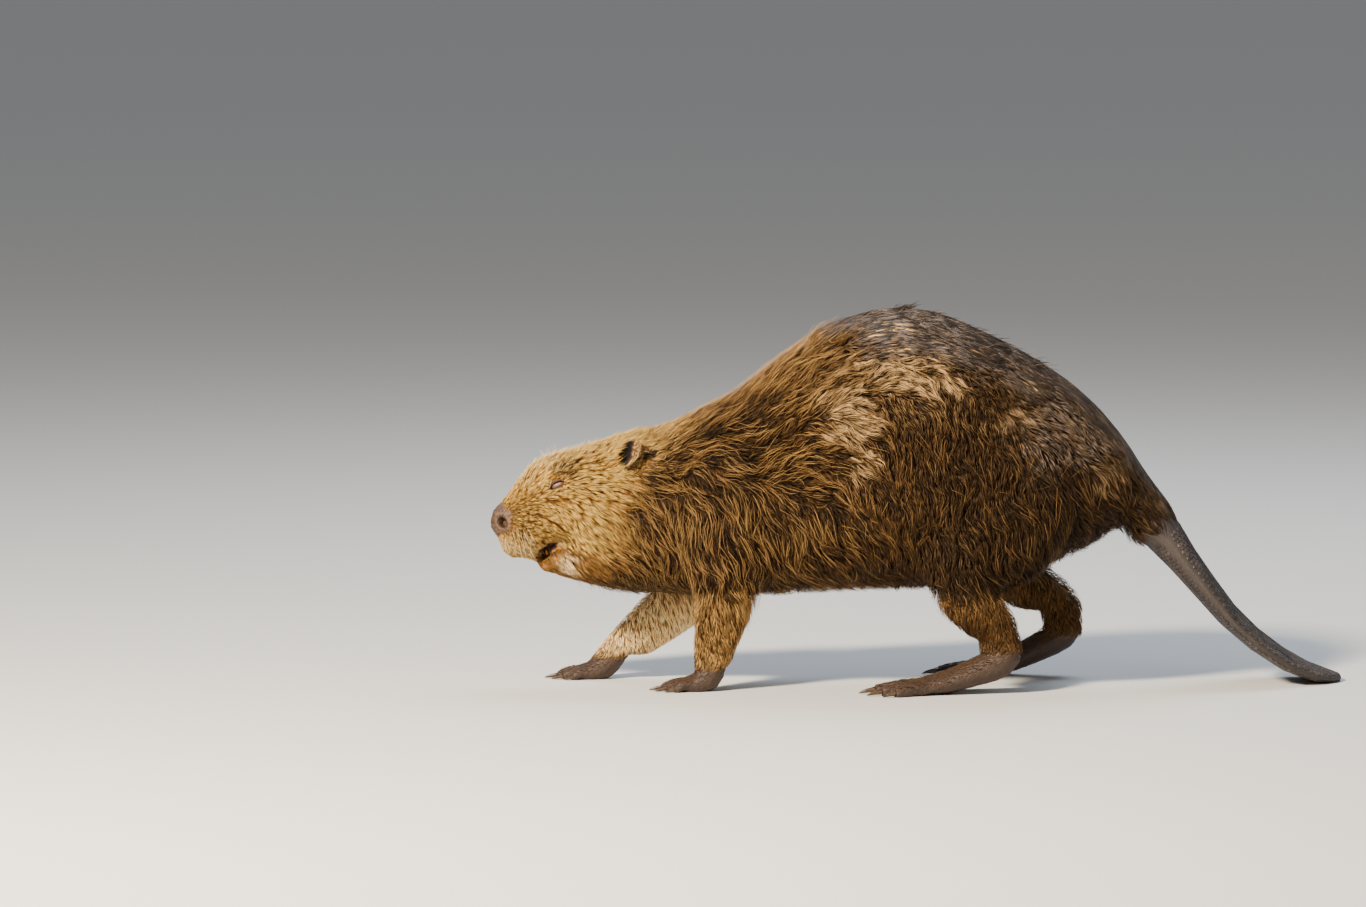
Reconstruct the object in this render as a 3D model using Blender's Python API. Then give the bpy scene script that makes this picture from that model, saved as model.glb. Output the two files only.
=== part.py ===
"""A life-size Eurasian beaver, walking with its head low and its rump high.

Metres, +Z up. The nose points to -X and the left side faces -Y. Sizes in the tables below are
millimetres: x is measured back from the nose tip, y out from the middle, z up from the floor.
Every solid reaches out to the tips of the coat.
"""

import math

import bmesh
import bpy
from mathutils import Matrix, Vector

MM = 0.001
GAP = 0.3  # left between two pieces that touch
VOXEL = 3.0  # cell of the remesh that melts the masses of flesh together
SMOOTHING = 7  # rounds of smoothing after it
FLESH_TRIANGLES = 1660
HEAD_CARE = 1e-5  # how much dearer it is to thin the head than the body
HEAD_BOX = ((-20, -100, 98), (165, 100, 300))
FOREFOOT_TRIANGLES = 300
HINDFOOT_TRIANGLES = 400
FOOT_VOXEL = 1.6
FULLNESS = 2.25  # exponent of the body's rounded-square cross-sections, 2 for an ellipse

LEFT, RIGHT = -1, 1
SIDES = {"left": LEFT, "right": RIGHT}

# Head, neck and trunk in upright slices: x, top, bottom, half width, height of the widest place
# as a share of the slice.
TORSO = [
    (-3, 185, 175, 8, 0.50),
    (0, 191, 168, 15, 0.50),
    (5, 198, 162, 21, 0.45),
    (12, 206, 155, 26, 0.42),
    (21, 217, 145, 30, 0.38),
    (32, 231, 139, 33, 0.36),
    (43, 242, 138, 36, 0.36),
    (50, 246, 146, 38, 0.38),
    (58, 250, 153, 41, 0.40),
    (66, 253, 158, 44, 0.42),
    (87, 259, 154, 51, 0.42),
    (109, 267, 144, 57, 0.42),
    (131, 274, 128, 62, 0.42),
    (153, 280, 113, 65, 0.43),
    (175, 284, 105, 66, 0.43),
    (197, 292, 102, 72, 0.42),
    (219, 303, 100, 79, 0.40),
    (250, 319, 100, 90, 0.38),
    (274, 334, 100, 98, 0.38),
    (318, 368, 102, 110, 0.38),
    (362, 396, 104, 120, 0.39),
    (406, 413, 106, 127, 0.40),
    (450, 418, 107, 131, 0.41),
    (494, 410, 108, 131, 0.42),
    (538, 391, 112, 126, 0.43),
    (582, 369, 122, 115, 0.44),
    (626, 341, 140, 98, 0.46),
    (660, 312, 158, 79, 0.48),
    (688, 280, 178, 60, 0.50),
    (706, 254, 195, 40, 0.50),
]

# The lower jaw, in the same kind of slices. The mouth is the gap between it and the muzzle.
JAW = [
    (48, 138, 132, 8, 0.5),
    (51, 140, 127, 15, 0.5),
    (58, 144, 124, 21, 0.5),
    (66, 149, 122, 27, 0.5),
    (77, 157, 119, 34, 0.5),
    (92, 166, 115, 43, 0.5),
    (112, 174, 110, 51, 0.5),
    (145, 182, 104, 58, 0.5),
    (170, 180, 103, 58, 0.5),
    (190, 170, 107, 50, 0.5),
]

# Where the jaw parts from the muzzle: x and z, through the open mouth and on to the jaw's corner.
MOUTH_LINE = [(40, 128), (45.5, 136), (51, 143), (58, 148.5), (66, 153.5), (74, 157), (100, 160), (134, 166)]

# Rounded masses under the coat: middle (x, y, z), then half sizes. Each is made on both sides.
MASSES = {
    "cheek": ((122, 35, 190), (40, 28, 46)),
    "whisker_pad": ((26, 13, 158), (19, 16, 17)),
    "brow": ((72, 25, 237), (21, 12, 9)),
    "shoulder": ((262, 68, 190), (64, 42, 88)),
    "haunch": ((552, 78, 220), (88, 56, 108)),
}

# Limbs as tubes: x, y, z, half thickness fore and aft, half width from side to side.
LIMBS = {
    "foreleg_left": [
        (240, 58, 180, 48, 37),
        (254, 64, 124, 40, 32),
        (250, 66, 86, 31, 26),
        (243, 65, 56, 25, 21),
        (239, 63, 30, 20, 17),
        (236, 62, 10, 16, 16),
    ],
    "foreleg_right": [
        (238, 52, 180, 48, 37),
        (226, 58, 124, 42, 31),
        (198, 61, 84, 34, 27),
        (161, 60, 52, 26, 22),
        (132, 59, 29, 19, 17),
        (116, 58, 12, 14, 15),
    ],
    "hindleg_left": [
        (526, 90, 200, 64, 40),
        (508, 98, 150, 50, 36),
        (522, 96, 106, 36, 29),
        (546, 91, 74, 26, 22),
        (560, 88, 44, 21, 19),
    ],
    "hindleg_right": [
        (550, 90, 200, 64, 40),
        (550, 98, 150, 50, 36),
        (582, 96, 112, 36, 29),
        (620, 91, 84, 26, 22),
        (638, 88, 56, 21, 19),
    ],
}

# The tail along its middle line: x, y, z, half thickness, half width. It bends a little to the right.
TAIL_ROOT = [
    (620, 0, 266, 52, 78),
    (650, 0, 249, 46, 66),
    (676, 0, 228, 39, 54),
    (702, 1, 201, 32, 45),
    (722, 3, 180, 28, 40),
    (745, 4, 155, 23, 38),
]
PADDLE = [
    (722, 3, 180, 27.5, 39),
    (736, 3, 165, 21.5, 40),
    (757, 6, 138, 17, 48),
    (780, 11, 109, 14.5, 57),
    (806, 17, 77, 12.5, 63),
    (836, 23, 49, 11, 65),
    (868, 30, 26, 10, 61),
    (897, 36, 11.5, 8.5, 50),
    (918, 40, 6, 6.5, 35),
    (929, 42, 4.2, 4.5, 20),
    (933, 43, 3.6, 3, 9),
]

WRIST_Z = {"left": 30, "right": 28}
ANKLE_Z = {"left": 62, "right": 74}
THIGH_X = {"left": 530, "right": 560}
FOREFOOT_AT = {"left": (237, 63), "right": (128, 59)}
HINDFOOT_AT = {"left": (551, 89), "right": (625, 89)}

CLAW_TIP_Z = 1.2
CLAW_ROOT = 3.0  # how deep a claw is set in its digit
EYE_AT, EYE_RADIUS = (72, 35.5, 225), 7.2
EYE_DISH = ((70, 52.5, 225), 15)  # a shallow dish in the coat, in which the eye sits
EAR_AT = (150, 47, 256)

INNER_LIPS = ((80, 0, 152), (16, 26, 11))  # they close the mouth behind the front teeth

# A front tooth from its root to its edge: x, z, half thickness, half width.
UPPER_TOOTH = [(57, 168, 4.5, 4), (51.5, 157, 4, 4), (50, 148, 3, 4), (52, 141, 1, 3.8)]
LOWER_TOOTH = [(68, 126, 4.5, 3.8), (62, 136, 4, 3.8), (58.5, 144, 3, 3.8), (57, 151, 1, 3.6)]


# ---------------------------------------------------------------- shapes


def through(rows, steps):
    """The rows with more between them, along a smooth curve through all of them."""
    last = len(rows) - 1
    found = []
    for i in range(last):
        a, b, c, d = (rows[min(max(j, 0), last)] for j in range(i - 1, i + 3))
        for k in range(steps):
            t = k / steps
            weights = (
                (-t + 2 * t**2 - t**3) / 2,
                (2 - 5 * t**2 + 3 * t**3) / 2,
                (t + 4 * t**2 - 3 * t**3) / 2,
                (-(t**2) + t**3) / 2,
            )
            found.append([sum(w * p for w, p in zip(weights, q)) for q in zip(a, b, c, d)])
    return found + [list(rows[last])]


def angles(count):
    return [2 * math.pi * i / count for i in range(count)]


def make(name, bm):
    """A new object in the scene from a bmesh in millimetres, with its faces turned outwards."""
    bmesh.ops.recalc_face_normals(bm, faces=bm.faces)
    bmesh.ops.transform(bm, matrix=Matrix.Scale(MM, 4), verts=bm.verts)
    mesh = bpy.data.meshes.new(name)
    bm.to_mesh(mesh)
    bm.free()
    obj = bpy.data.objects.new(name, mesh)
    bpy.context.scene.collection.objects.link(obj)
    return obj


def loft(name, rings):
    """A closed skin over rings of points, with a flat cap on each end."""
    bm = bmesh.new()
    rows = [[bm.verts.new(p) for p in ring] for ring in rings]
    for a, b in zip(rows, rows[1:]):
        for i in range(len(a)):
            j = (i + 1) % len(a)
            bm.faces.new((a[i], a[j], b[j], b[i]))
    bm.faces.new(rows[0][::-1])
    bm.faces.new(rows[-1])
    return make(name, bm)


def slices(name, rows, count=28, steps=3):
    """A loft of upright slices: x, top, bottom, half width and height of the widest place."""
    rings = []
    for x, top, bottom, half_width, widest in through(rows, steps):
        middle = bottom + widest * (top - bottom)
        ring = []
        for a in angles(count):
            across = math.copysign(abs(math.cos(a)) ** (2 / FULLNESS), math.cos(a))
            up = math.copysign(abs(math.sin(a)) ** (2 / FULLNESS), math.sin(a))
            reach = top - middle if up > 0 else middle - bottom
            ring.append(Vector((x, half_width * across, middle + reach * up)))
        rings.append(ring)
    return loft(name, rings)


def tube(name, rows, count=12, steps=3):
    """A loft of rings square to a path: x, y, z, half thickness and half width, which lies along Y."""
    rows = through(rows, steps)
    path = [Vector(row[:3]) for row in rows]
    rings = []
    for i, row in enumerate(rows):
        ahead = (path[min(i + 1, len(path) - 1)] - path[max(i - 1, 0)]).normalized()
        across = (Vector((0, 1, 0)) - ahead * ahead.y).normalized()
        thick = ahead.cross(across)
        rings.append(
            [path[i] + across * row[4] * math.cos(a) + thick * row[3] * math.sin(a) for a in angles(count)]
        )
    return loft(name, rings)


def ball(name, middle, half_sizes, segments=24, rings=14):
    bm = bmesh.new()
    bmesh.ops.create_uvsphere(bm, u_segments=segments, v_segments=rings, radius=1)
    bmesh.ops.transform(bm, matrix=Matrix.Diagonal((*half_sizes, 1)), verts=bm.verts)
    bmesh.ops.translate(bm, vec=middle, verts=bm.verts)
    return make(name, bm)


def block(name, low, high, turn=0.0):
    """A box between two corners, turned by some degrees about the Y axis through its middle."""
    low, high = Vector(low), Vector(high)
    bm = bmesh.new()
    bmesh.ops.create_cube(bm, size=1)
    place = (
        Matrix.Translation((low + high) / 2)
        @ Matrix.Rotation(math.radians(turn), 4, "Y")
        @ Matrix.Diagonal((*(high - low), 1))
    )
    bmesh.ops.transform(bm, matrix=place, verts=bm.verts)
    return make(name, bm)


def prism(name, outline, half_width):
    """An outline of x and z, as thick as twice the half width across Y."""
    bm = bmesh.new()
    near = [bm.verts.new((x, -half_width, z)) for x, z in outline]
    far = [bm.verts.new((x, half_width, z)) for x, z in outline]
    bm.faces.new(near)
    bm.faces.new(far[::-1])
    for i in range(len(outline)):
        j = (i + 1) % len(outline)
        bm.faces.new((near[i], far[i], far[j], near[j]))
    return make(name, bm)


# ---------------------------------------------------------------- joining and parting


def remove(obj):
    mesh = obj.data
    bpy.data.objects.remove(obj)
    bpy.data.meshes.remove(mesh)


def settle(obj):
    """Turns the object's modifiers into plain mesh."""
    graph = bpy.context.evaluated_depsgraph_get()
    mesh = bpy.data.meshes.new_from_object(obj.evaluated_get(graph))
    obj.modifiers.clear()
    old = obj.data
    obj.data = mesh
    mesh.name = obj.name
    bpy.data.meshes.remove(old)
    return obj


def cut(obj, other, operation):
    boolean = obj.modifiers.new(operation.lower(), "BOOLEAN")
    boolean.operation = operation
    boolean.object = other
    return settle(obj)


def grown(obj, by=GAP):
    """A copy of the object, swollen all over."""
    copy = obj.copy()
    copy.data = obj.data.copy()
    bpy.context.scene.collection.objects.link(copy)
    swell = copy.modifiers.new("swell", "DISPLACE")
    swell.strength = by * MM
    swell.mid_level = 0
    return settle(copy)


def united(name, pieces):
    """Several overlapping pieces as one body."""
    whole = pieces[0]
    whole.name = name
    for piece in pieces[1:]:
        cut(whole, piece, "UNION")
        remove(piece)
    return whole


def part_off(whole, name, cutter):
    """Makes what lies inside the cutter a piece of its own, with a thin gap between the two."""
    piece = whole.copy()
    piece.data = whole.data.copy()
    piece.name = name
    bpy.context.scene.collection.objects.link(piece)
    cut(piece, cutter, "INTERSECT")
    wide = grown(cutter)
    cut(whole, wide, "DIFFERENCE")
    remove(wide)
    remove(cutter)
    return piece


def seat(host, guest):
    """Cuts a close socket in the host for the guest."""
    wide = grown(guest)
    cut(host, wide, "DIFFERENCE")
    remove(wide)


def melted(name, pieces, voxel, smoothing):
    """The pieces run together into one smooth, finely meshed skin."""
    bm = bmesh.new()
    for piece in pieces:
        bm.from_mesh(piece.data)
        remove(piece)
    bmesh.ops.transform(bm, matrix=Matrix.Scale(1 / MM, 4), verts=bm.verts)
    whole = make(name, bm)
    remesh = whole.modifiers.new("melt", "REMESH")
    remesh.mode = "VOXEL"
    remesh.voxel_size = voxel * MM
    smooth = whole.modifiers.new("smooth", "SMOOTH")
    smooth.factor = 0.5
    smooth.iterations = smoothing
    return settle(whole)


def thinned(obj, triangles, favoured=None, care=0.0):
    """Brings an object down to about that many triangles, sparing what lies in the favoured box."""
    thin = obj.modifiers.new("thin", "DECIMATE")
    thin.ratio = triangles / sum(len(face.vertices) - 2 for face in obj.data.polygons)
    if favoured:
        low, high = favoured
        eager = obj.vertex_groups.new(name="eager")
        for vertex in obj.data.vertices:
            inside = all(low[k] * MM < vertex.co[k] < high[k] * MM for k in range(3))
            eager.add([vertex.index], 0.5 if inside else 1.0, "REPLACE")
        thin.vertex_group = "eager"
        thin.vertex_group_factor = care
    return settle(obj)


def trim(obj, level, keep_above):
    """Cuts an object off flat at a height."""
    bm = bmesh.new()
    bm.from_mesh(obj.data)
    geometry = bm.verts[:] + bm.edges[:] + bm.faces[:]
    up = (0, 0, 1 if keep_above else -1)
    made = bmesh.ops.bisect_plane(
        bm, geom=geometry, plane_co=(0, 0, level * MM), plane_no=up, clear_inner=True
    )
    rim = [e for e in made["geom_cut"] if isinstance(e, bmesh.types.BMEdge)]
    bmesh.ops.edgeloop_fill(bm, edges=rim)
    bmesh.ops.recalc_face_normals(bm, faces=bm.faces)
    bm.to_mesh(obj.data)
    bm.free()


# ---------------------------------------------------------------- flesh


def mirrored(rows, side):
    return [(row[0], side * row[1], *row[2:]) for row in rows]


def flesh():
    """Head, neck, trunk, legs down to wrist and ankle, and the furred root of the tail."""
    pieces = [slices("torso", TORSO), slices("jaw_mass", JAW, count=20), tube("root", TAIL_ROOT, count=20)]
    pieces.append(ball("inner_lips", *INNER_LIPS))
    for name, (middle, half_sizes) in MASSES.items():
        for side in SIDES.values():
            x, y, z = middle
            pieces.append(ball(name, (x, side * y, z), half_sizes))
    for name, rows in LIMBS.items():
        side = SIDES[name.split("_")[1]]
        pieces.append(tube(name, mirrored(rows, side), count=16))
    whole = melted("trunk", pieces, VOXEL, SMOOTHING)
    (x, y, z), radius = EYE_DISH
    for side in SIDES.values():
        dish = ball("dish", (x, side * y, z), (radius,) * 3, 24, 14)
        cut(whole, dish, "DIFFERENCE")
        remove(dish)
    return thinned(whole, FLESH_TRIANGLES, HEAD_BOX, HEAD_CARE)


def beyond(path, reach=90.0):
    """A box square to the start of a path, with its near face there and the rest beyond it."""
    start, ahead = Vector(path[0][:3]), Vector(path[1][:3]) - Vector(path[0][:3])
    ahead.normalize()
    middle = start + ahead * (reach - GAP)
    turn = math.degrees(math.atan2(-ahead.z, ahead.x))
    half = Vector((reach, reach, reach))
    return block("beyond", middle - half, middle + half, turn)


def side_box(name, side, x, y, z, turn=0.0):
    """A box over a span of x, of distance out from the middle and of z, on one side of the body."""
    near, far = sorted((side * y[0], side * y[1]))
    return block(name, (x[0], near, z[0]), (x[1], far, z[1]), turn)


def part_body(whole):
    """Divides the flesh where a person would name its parts."""
    parts = []
    behind = beyond(PADDLE)
    cut(whole, behind, "DIFFERENCE")
    remove(behind)
    for word, side in SIDES.items():
        x, y = FOREFOOT_AT[word]
        below = side_box("below_wrist", side, (x - 60, x + 40), (5, 130), (-40, WRIST_Z[word]))
        cut(whole, below, "DIFFERENCE")
        remove(below)
        x, y = HINDFOOT_AT[word]
        below = side_box("below_ankle", side, (x - 60, x + 60), (5, 150), (-40, ANKLE_Z[word]))
        cut(whole, below, "DIFFERENCE")
        remove(below)
    for word, side in SIDES.items():
        x, y = FOREFOOT_AT[word]
        cutter = side_box("arm", side, (x - 70, x + 120), (3, 130), (0, 87))
        parts.append(part_off(whole, f"foreleg_{word}", cutter))
        cutter = side_box("shank", side, (440, 690), (54, 150), (0, 113))
        parts.append(part_off(whole, f"shank_{word}", cutter))
        cutter = ball("thigh", (THIGH_X[word], side * 104, 186), (100, 78, 110), 16, 9)
        parts.append(part_off(whole, f"thigh_{word}", cutter))
    cuts = [
        ("nose", block("cut", (-30, -60, 160), (16, 60, 240))),
        ("jaw", prism("cut", MOUTH_LINE + [(134, 70), (40, 70)], 90)),
        ("head", block("cut", (-40, -120, 97), (170, 120, 340), 6)),
        ("neck", block("cut", (90, -160, 20), (256, 160, 440), 14)),
        ("tail_root", block("cut", (672, -120, 110), (800, 120, 360), 38)),
    ]
    for name, cutter in cuts:
        parts.append(part_off(whole, name, cutter))
    return parts


# ---------------------------------------------------------------- head details


def ear(word, side):
    """A short round ear, a shell hollow towards the front and the outside, and the hull it fills."""
    hull = ball("hull", (0, 0, 0), (11, 16.5, 19), 12, 8)
    hollow = ball("hollow", (-9, 0, 2), (12, 14, 16.5), 12, 8)
    x, y, z = EAR_AT
    place = (
        Matrix.Translation(Vector((x, side * y, z)) * MM)
        @ Matrix.Rotation(math.radians(side * -50), 4, "Z")
        @ Matrix.Rotation(math.radians(-20 * side), 4, "X")
        @ Matrix.Rotation(math.radians(24), 4, "Y")
    )
    for piece in (hull, hollow):
        piece.data.transform(place)
    shell = hull.copy()
    shell.data = hull.data.copy()
    shell.name = f"ear_{word}"
    bpy.context.scene.collection.objects.link(shell)
    cut(shell, hollow, "DIFFERENCE")
    remove(hollow)
    return shell, hull


def eye(word, side):
    x, y, z = EYE_AT
    return ball(f"eye_{word}", (x, side * y, z), (EYE_RADIUS,) * 3, 12, 7)


def incisors(name, rows, spare=0.0):
    """A pair of chisel-edged front teeth, pressed together side by side, or a roomier copy of it."""
    root = [a + (a - b) * spare * 0.2 for a, b in zip(rows[0][:2], rows[1][:2])]
    edge = [a + (a - b) * spare * 0.3 for a, b in zip(rows[-1][:2], rows[-2][:2])]
    rows = [(*root, *rows[0][2:]), *rows[1:-1], (*edge, *rows[-1][2:])]
    pair = [
        tube("tooth", [(x, side * (w - 0.4), z, t + spare, w + spare) for x, z, t, w in rows], 6, 1)
        for side in SIDES.values()
    ]
    return united(name, pair)


# ---------------------------------------------------------------- feet


def digit_path(base, heading, length, high, tip_z):
    """Places along one finger or toe: out of the knuckle, over a low arch and down to the tip."""
    x, y, z = base
    ahead = Vector((-math.cos(heading), math.sin(heading), 0))
    shares = ((0.0, z), (0.4, high), (0.75, tip_z * 0.8 + high * 0.2), (1.0, tip_z))
    return [Vector((x, y, 0)) + ahead * length * share + Vector((0, 0, up)) for share, up in shares]


def claw(name, path, length, radius):
    """A pointed claw that carries a digit's path on, and curves down to just above the floor."""
    ahead = (path[-1] - path[-2]).normalized()
    start = path[-1] - ahead * CLAW_ROOT
    fall = start.z + ahead.z * length - CLAW_TIP_Z
    rows = []
    for share, thick in ((0.0, 1.0), (0.35, 0.92), (0.72, 0.62), (1.0, 0.14)):
        down = fall * max(0.0, (share - 0.35) / 0.65) ** 1.5
        at = start + ahead * length * share - Vector((0, 0, down))
        rows.append((*at, radius * thick, radius * 0.82 * thick))
    return tube(name, rows, count=5, steps=1)


def foot(name, side, top, triangles, palm, digits, web=None):
    """A foot with its digits, cut flat at the floor and at its top, and its claws on their own."""
    pieces = [tube("palm", mirrored(palm, side), count=16, steps=2)]
    if web:
        pieces.append(web)
    claws = []
    for number, (base, heading, length, radius, high, claw_length) in enumerate(digits, 1):
        x, y, z = base
        tip_z = radius * 0.75
        path = digit_path((x, side * y, z), side * heading, length, high, tip_z)
        radii = (radius * 1.2, radius * 1.15, radius * 1.1, radius * 0.95)
        rows = [(*at, r, r) for at, r in zip(path, radii)]
        pieces.append(tube(f"digit_{number}", rows, count=10, steps=2))
        claws.append(claw(f"claw_{name}_{number}", path, claw_length + CLAW_ROOT, radius * 0.6))
    whole = thinned(melted(name, pieces, FOOT_VOXEL, 3), triangles)
    trim(whole, 0, keep_above=True)
    trim(whole, top, keep_above=False)
    for piece in claws:
        seat(whole, piece)
    return [whole, *claws]


def forefoot(word, side):
    """A small hand with five separate fingers. The innermost is the shortest."""
    x, y = FOREFOOT_AT[word]
    top = WRIST_Z[word] - GAP
    lean = {"left": 2, "right": 14}[word]  # how far the wrist lies ahead of the hand's heel
    palm = [
        (x + lean * 0.4, y, top + 10, 17.5, 16.5),
        (x - lean * 0.4, y, top * 0.66, 16.5, 16),
        (x - 6 - lean * 0.6, y, 11, 14, 17.5),
        (x - 16 - lean * 0.6, y, 7.5, 10.5, 19),
        (x - 28 - lean * 0.6, y, 6, 8.5, 18.5),
        (x - 34 - lean * 0.6, y, 5.5, 6.5, 15),
    ]
    knuckle_x = x - 26 - lean * 0.6
    digits = []
    for out, reach, size, claw_length in (
        (-14, 15, 4.4, 10),
        (-7.5, 23, 5.0, 13),
        (0, 26, 5.2, 14),
        (7.5, 24, 5.0, 13),
        (14, 18, 4.6, 12),
    ):
        heading = math.radians(out * 1.5)
        digits.append(((knuckle_x + abs(out) * 0.35, y + out, 7.5), heading, reach, size, 8.5, claw_length))
    return foot(f"forefoot_{word}", side, top, FOREFOOT_TRIANGLES, palm, digits)


def toe_web(name, side, heel_x, y, digits):
    """A thin web between the toes, as a fan that ends a little short of them."""
    thick = 3.4
    rim = []
    for base, heading, length, *_ in digits:
        ahead = Vector((-math.cos(heading), math.sin(heading), 0))
        rim.append(Vector((base[0], base[1], 0)) + ahead * length * 0.92)
    scallops = [rim[0]]
    for a, b in zip(rim, rim[1:]):
        scallops += [(a + b) / 2 + Vector((5, 0, 0)), b]
    back = [Vector((heel_x - 82, y + 24, 0)), Vector((heel_x - 82, y - 24, 0))]
    bm = bmesh.new()
    outline = [Vector((p.x, side * p.y, 0)) for p in scallops + back]
    low = [bm.verts.new((p.x, p.y, -1.5)) for p in outline]
    high = [bm.verts.new((p.x, p.y, thick)) for p in outline]
    bm.faces.new(low[::-1])
    bm.faces.new(high)
    for i in range(len(outline)):
        j = (i + 1) % len(outline)
        bm.faces.new((low[i], low[j], high[j], high[i]))
    return make(name, bm)


def hindfoot(word, side):
    """A long broad foot with five webbed toes, its heel held off the floor."""
    x, y = HINDFOOT_AT[word]
    top = ANKLE_Z[word] - GAP
    heel = top - 22
    palm = [
        (x - 3, y, top + 14, 23, 20.5),
        (x + 4, y, heel + 8, 22, 20),
        (x + 1, y, heel - 6, 18, 20),
        (x - 22, y, heel * 0.62, 15.5, 21.5),
        (x - 52, y, heel * 0.34, 12.5, 25.5),
        (x - 80, y, 7.5, 10.5, 30),
        (x - 98, y, 5, 7.5, 31),
    ]
    digits = []
    for out, reach, size, claw_length in (
        (-23, 36, 5.4, 15),
        (-12, 46, 6.0, 17),
        (0, 51, 6.4, 18),
        (12, 48, 6.2, 17),
        (23, 38, 5.8, 15),
    ):
        heading = math.radians(out * 0.85 + 6)
        digits.append(((x - 84 + abs(out) * 0.2, y + out, 7), heading, reach, size, 8.0, claw_length))
    web = toe_web("web", side, x, y, digits)
    return foot(f"hindfoot_{word}", side, top, HINDFOOT_TRIANGLES, palm, digits, web)


# ---------------------------------------------------------------- materials


def finish(name, colour, roughness):
    material = bpy.data.materials.new(name)
    material.use_nodes = True
    shader = material.node_tree.nodes["Principled BSDF"]
    shader.inputs["Base Color"].default_value = (*colour, 1)
    shader.inputs["Roughness"].default_value = roughness
    shader.inputs["Metallic"].default_value = 0
    return material


def dress(objects):
    """Gives each piece the finish of what it is."""
    finishes = {
        "head_fur": finish("head_fur", (0.33, 0.21, 0.10), 0.75),
        "body_fur": finish("body_fur", (0.13, 0.075, 0.04), 0.6),
        "leg_fur": finish("leg_fur", (0.24, 0.16, 0.10), 0.75),
        "bare_skin": finish("bare_skin", (0.05, 0.04, 0.035), 0.55),
        "tail_scales": finish("tail_scales", (0.07, 0.06, 0.05), 0.5),
        "claw_horn": finish("claw_horn", (0.06, 0.045, 0.035), 0.35),
        "eye": finish("eye", (0.01, 0.007, 0.005), 0.05),
        "enamel": finish("enamel", (0.6, 0.25, 0.05), 0.3),
    }
    wears = {
        "head": "head_fur",
        "jaw": "head_fur",
        "ear": "head_fur",
        "neck": "body_fur",
        "trunk": "body_fur",
        "thigh": "body_fur",
        "tail_root": "body_fur",
        "shank": "leg_fur",
        "foreleg": "leg_fur",
        "nose": "bare_skin",
        "forefoot": "bare_skin",
        "hindfoot": "bare_skin",
        "tail": "tail_scales",
        "claw": "claw_horn",
        "eye": "eye",
        "incisors": "enamel",
    }
    for obj in objects:
        kind = obj.name if obj.name in wears else obj.name.split("_")[0]
        obj.data.materials.clear()
        obj.data.materials.append(finishes[wears[kind]])
        obj.data.shade_smooth()
        obj.data.set_sharp_from_angle(angle=math.radians(50))


def centre(objects):
    """Moves everything so that the origin lies on the floor under the middle of the model's box."""
    points = [v.co for obj in objects for v in obj.data.vertices]
    low = Vector([min(p[k] for p in points) for k in range(3)])
    high = Vector([max(p[k] for p in points) for k in range(3)])
    move = Matrix.Translation(Vector((-(low.x + high.x) / 2, -(low.y + high.y) / 2, -low.z)))
    for obj in objects:
        obj.data.transform(move)


def main():
    for obj in list(bpy.data.objects):
        bpy.data.objects.remove(obj)
    trunk = flesh()
    parts = part_body(trunk)
    named = {part.name: part for part in parts}
    head, jaw = named["head"], named["jaw"]
    for name, rows in (("incisors_upper", UPPER_TOOTH), ("incisors_lower", LOWER_TOOTH)):
        socket = incisors("socket", rows, GAP)
        cut(head, socket, "DIFFERENCE")
        cut(jaw, socket, "DIFFERENCE")
        remove(socket)
        parts.append(incisors(name, rows))
    parts.append(trunk)
    for word, side in SIDES.items():
        eyeball = eye(word, side)
        seat(head, eyeball)
        shell, hull = ear(word, side)
        seat(head, hull)
        remove(hull)
        parts += [eyeball, shell]
        parts += forefoot(word, side)
        parts += hindfoot(word, side)
    tail = tube("tail", PADDLE, count=16, steps=1)
    trim(tail, 0, keep_above=True)
    parts.append(tail)
    dress(parts)
    centre(parts)


main()
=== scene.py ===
"""The beaver's looks: one skin over the solids of flesh, a coat of wet locks, eyes, teeth, claws, scales.

Places on the animal are in its own millimetres: X back from the nose tip, Y out from the middle, Z up
from the floor. at() turns such a place into the frame's metres, and body() turns points back. A mask is
a share between 0 and 1 at each of many points, and a lot is a hair's place between dark and light: its
own tone at random, and for the head, the underfur and the pale locks also painted shade, lower at the
edges of each clump and higher at its middle.
"""

import math

import bmesh
import bpy
import numpy as np
from mathutils import Matrix, Vector
from mathutils.bvhtree import BVHTree
from mathutils.kdtree import KDTree


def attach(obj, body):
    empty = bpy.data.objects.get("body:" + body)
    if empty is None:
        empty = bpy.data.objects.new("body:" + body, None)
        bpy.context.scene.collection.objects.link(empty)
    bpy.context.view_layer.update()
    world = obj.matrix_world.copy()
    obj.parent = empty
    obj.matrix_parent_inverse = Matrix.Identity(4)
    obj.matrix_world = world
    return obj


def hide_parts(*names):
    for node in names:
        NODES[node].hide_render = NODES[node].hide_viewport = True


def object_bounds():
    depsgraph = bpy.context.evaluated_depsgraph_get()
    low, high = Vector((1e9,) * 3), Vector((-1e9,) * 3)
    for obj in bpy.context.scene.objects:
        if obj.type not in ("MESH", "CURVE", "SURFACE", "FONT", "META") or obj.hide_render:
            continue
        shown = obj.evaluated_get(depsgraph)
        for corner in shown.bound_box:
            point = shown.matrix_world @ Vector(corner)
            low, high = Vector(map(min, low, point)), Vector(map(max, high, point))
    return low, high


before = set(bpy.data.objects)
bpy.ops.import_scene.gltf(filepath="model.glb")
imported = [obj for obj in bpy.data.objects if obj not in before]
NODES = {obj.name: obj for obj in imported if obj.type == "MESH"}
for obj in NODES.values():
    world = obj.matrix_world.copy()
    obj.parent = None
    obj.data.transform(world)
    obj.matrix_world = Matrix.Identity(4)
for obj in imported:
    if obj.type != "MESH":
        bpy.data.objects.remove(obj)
CAD_BOX = [[float(v) for v in corner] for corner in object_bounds()]
MM = 0.001
NOSE_X = CAD_BOX[0][0] + 2 * MM
rng = np.random.default_rng(11)

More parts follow.
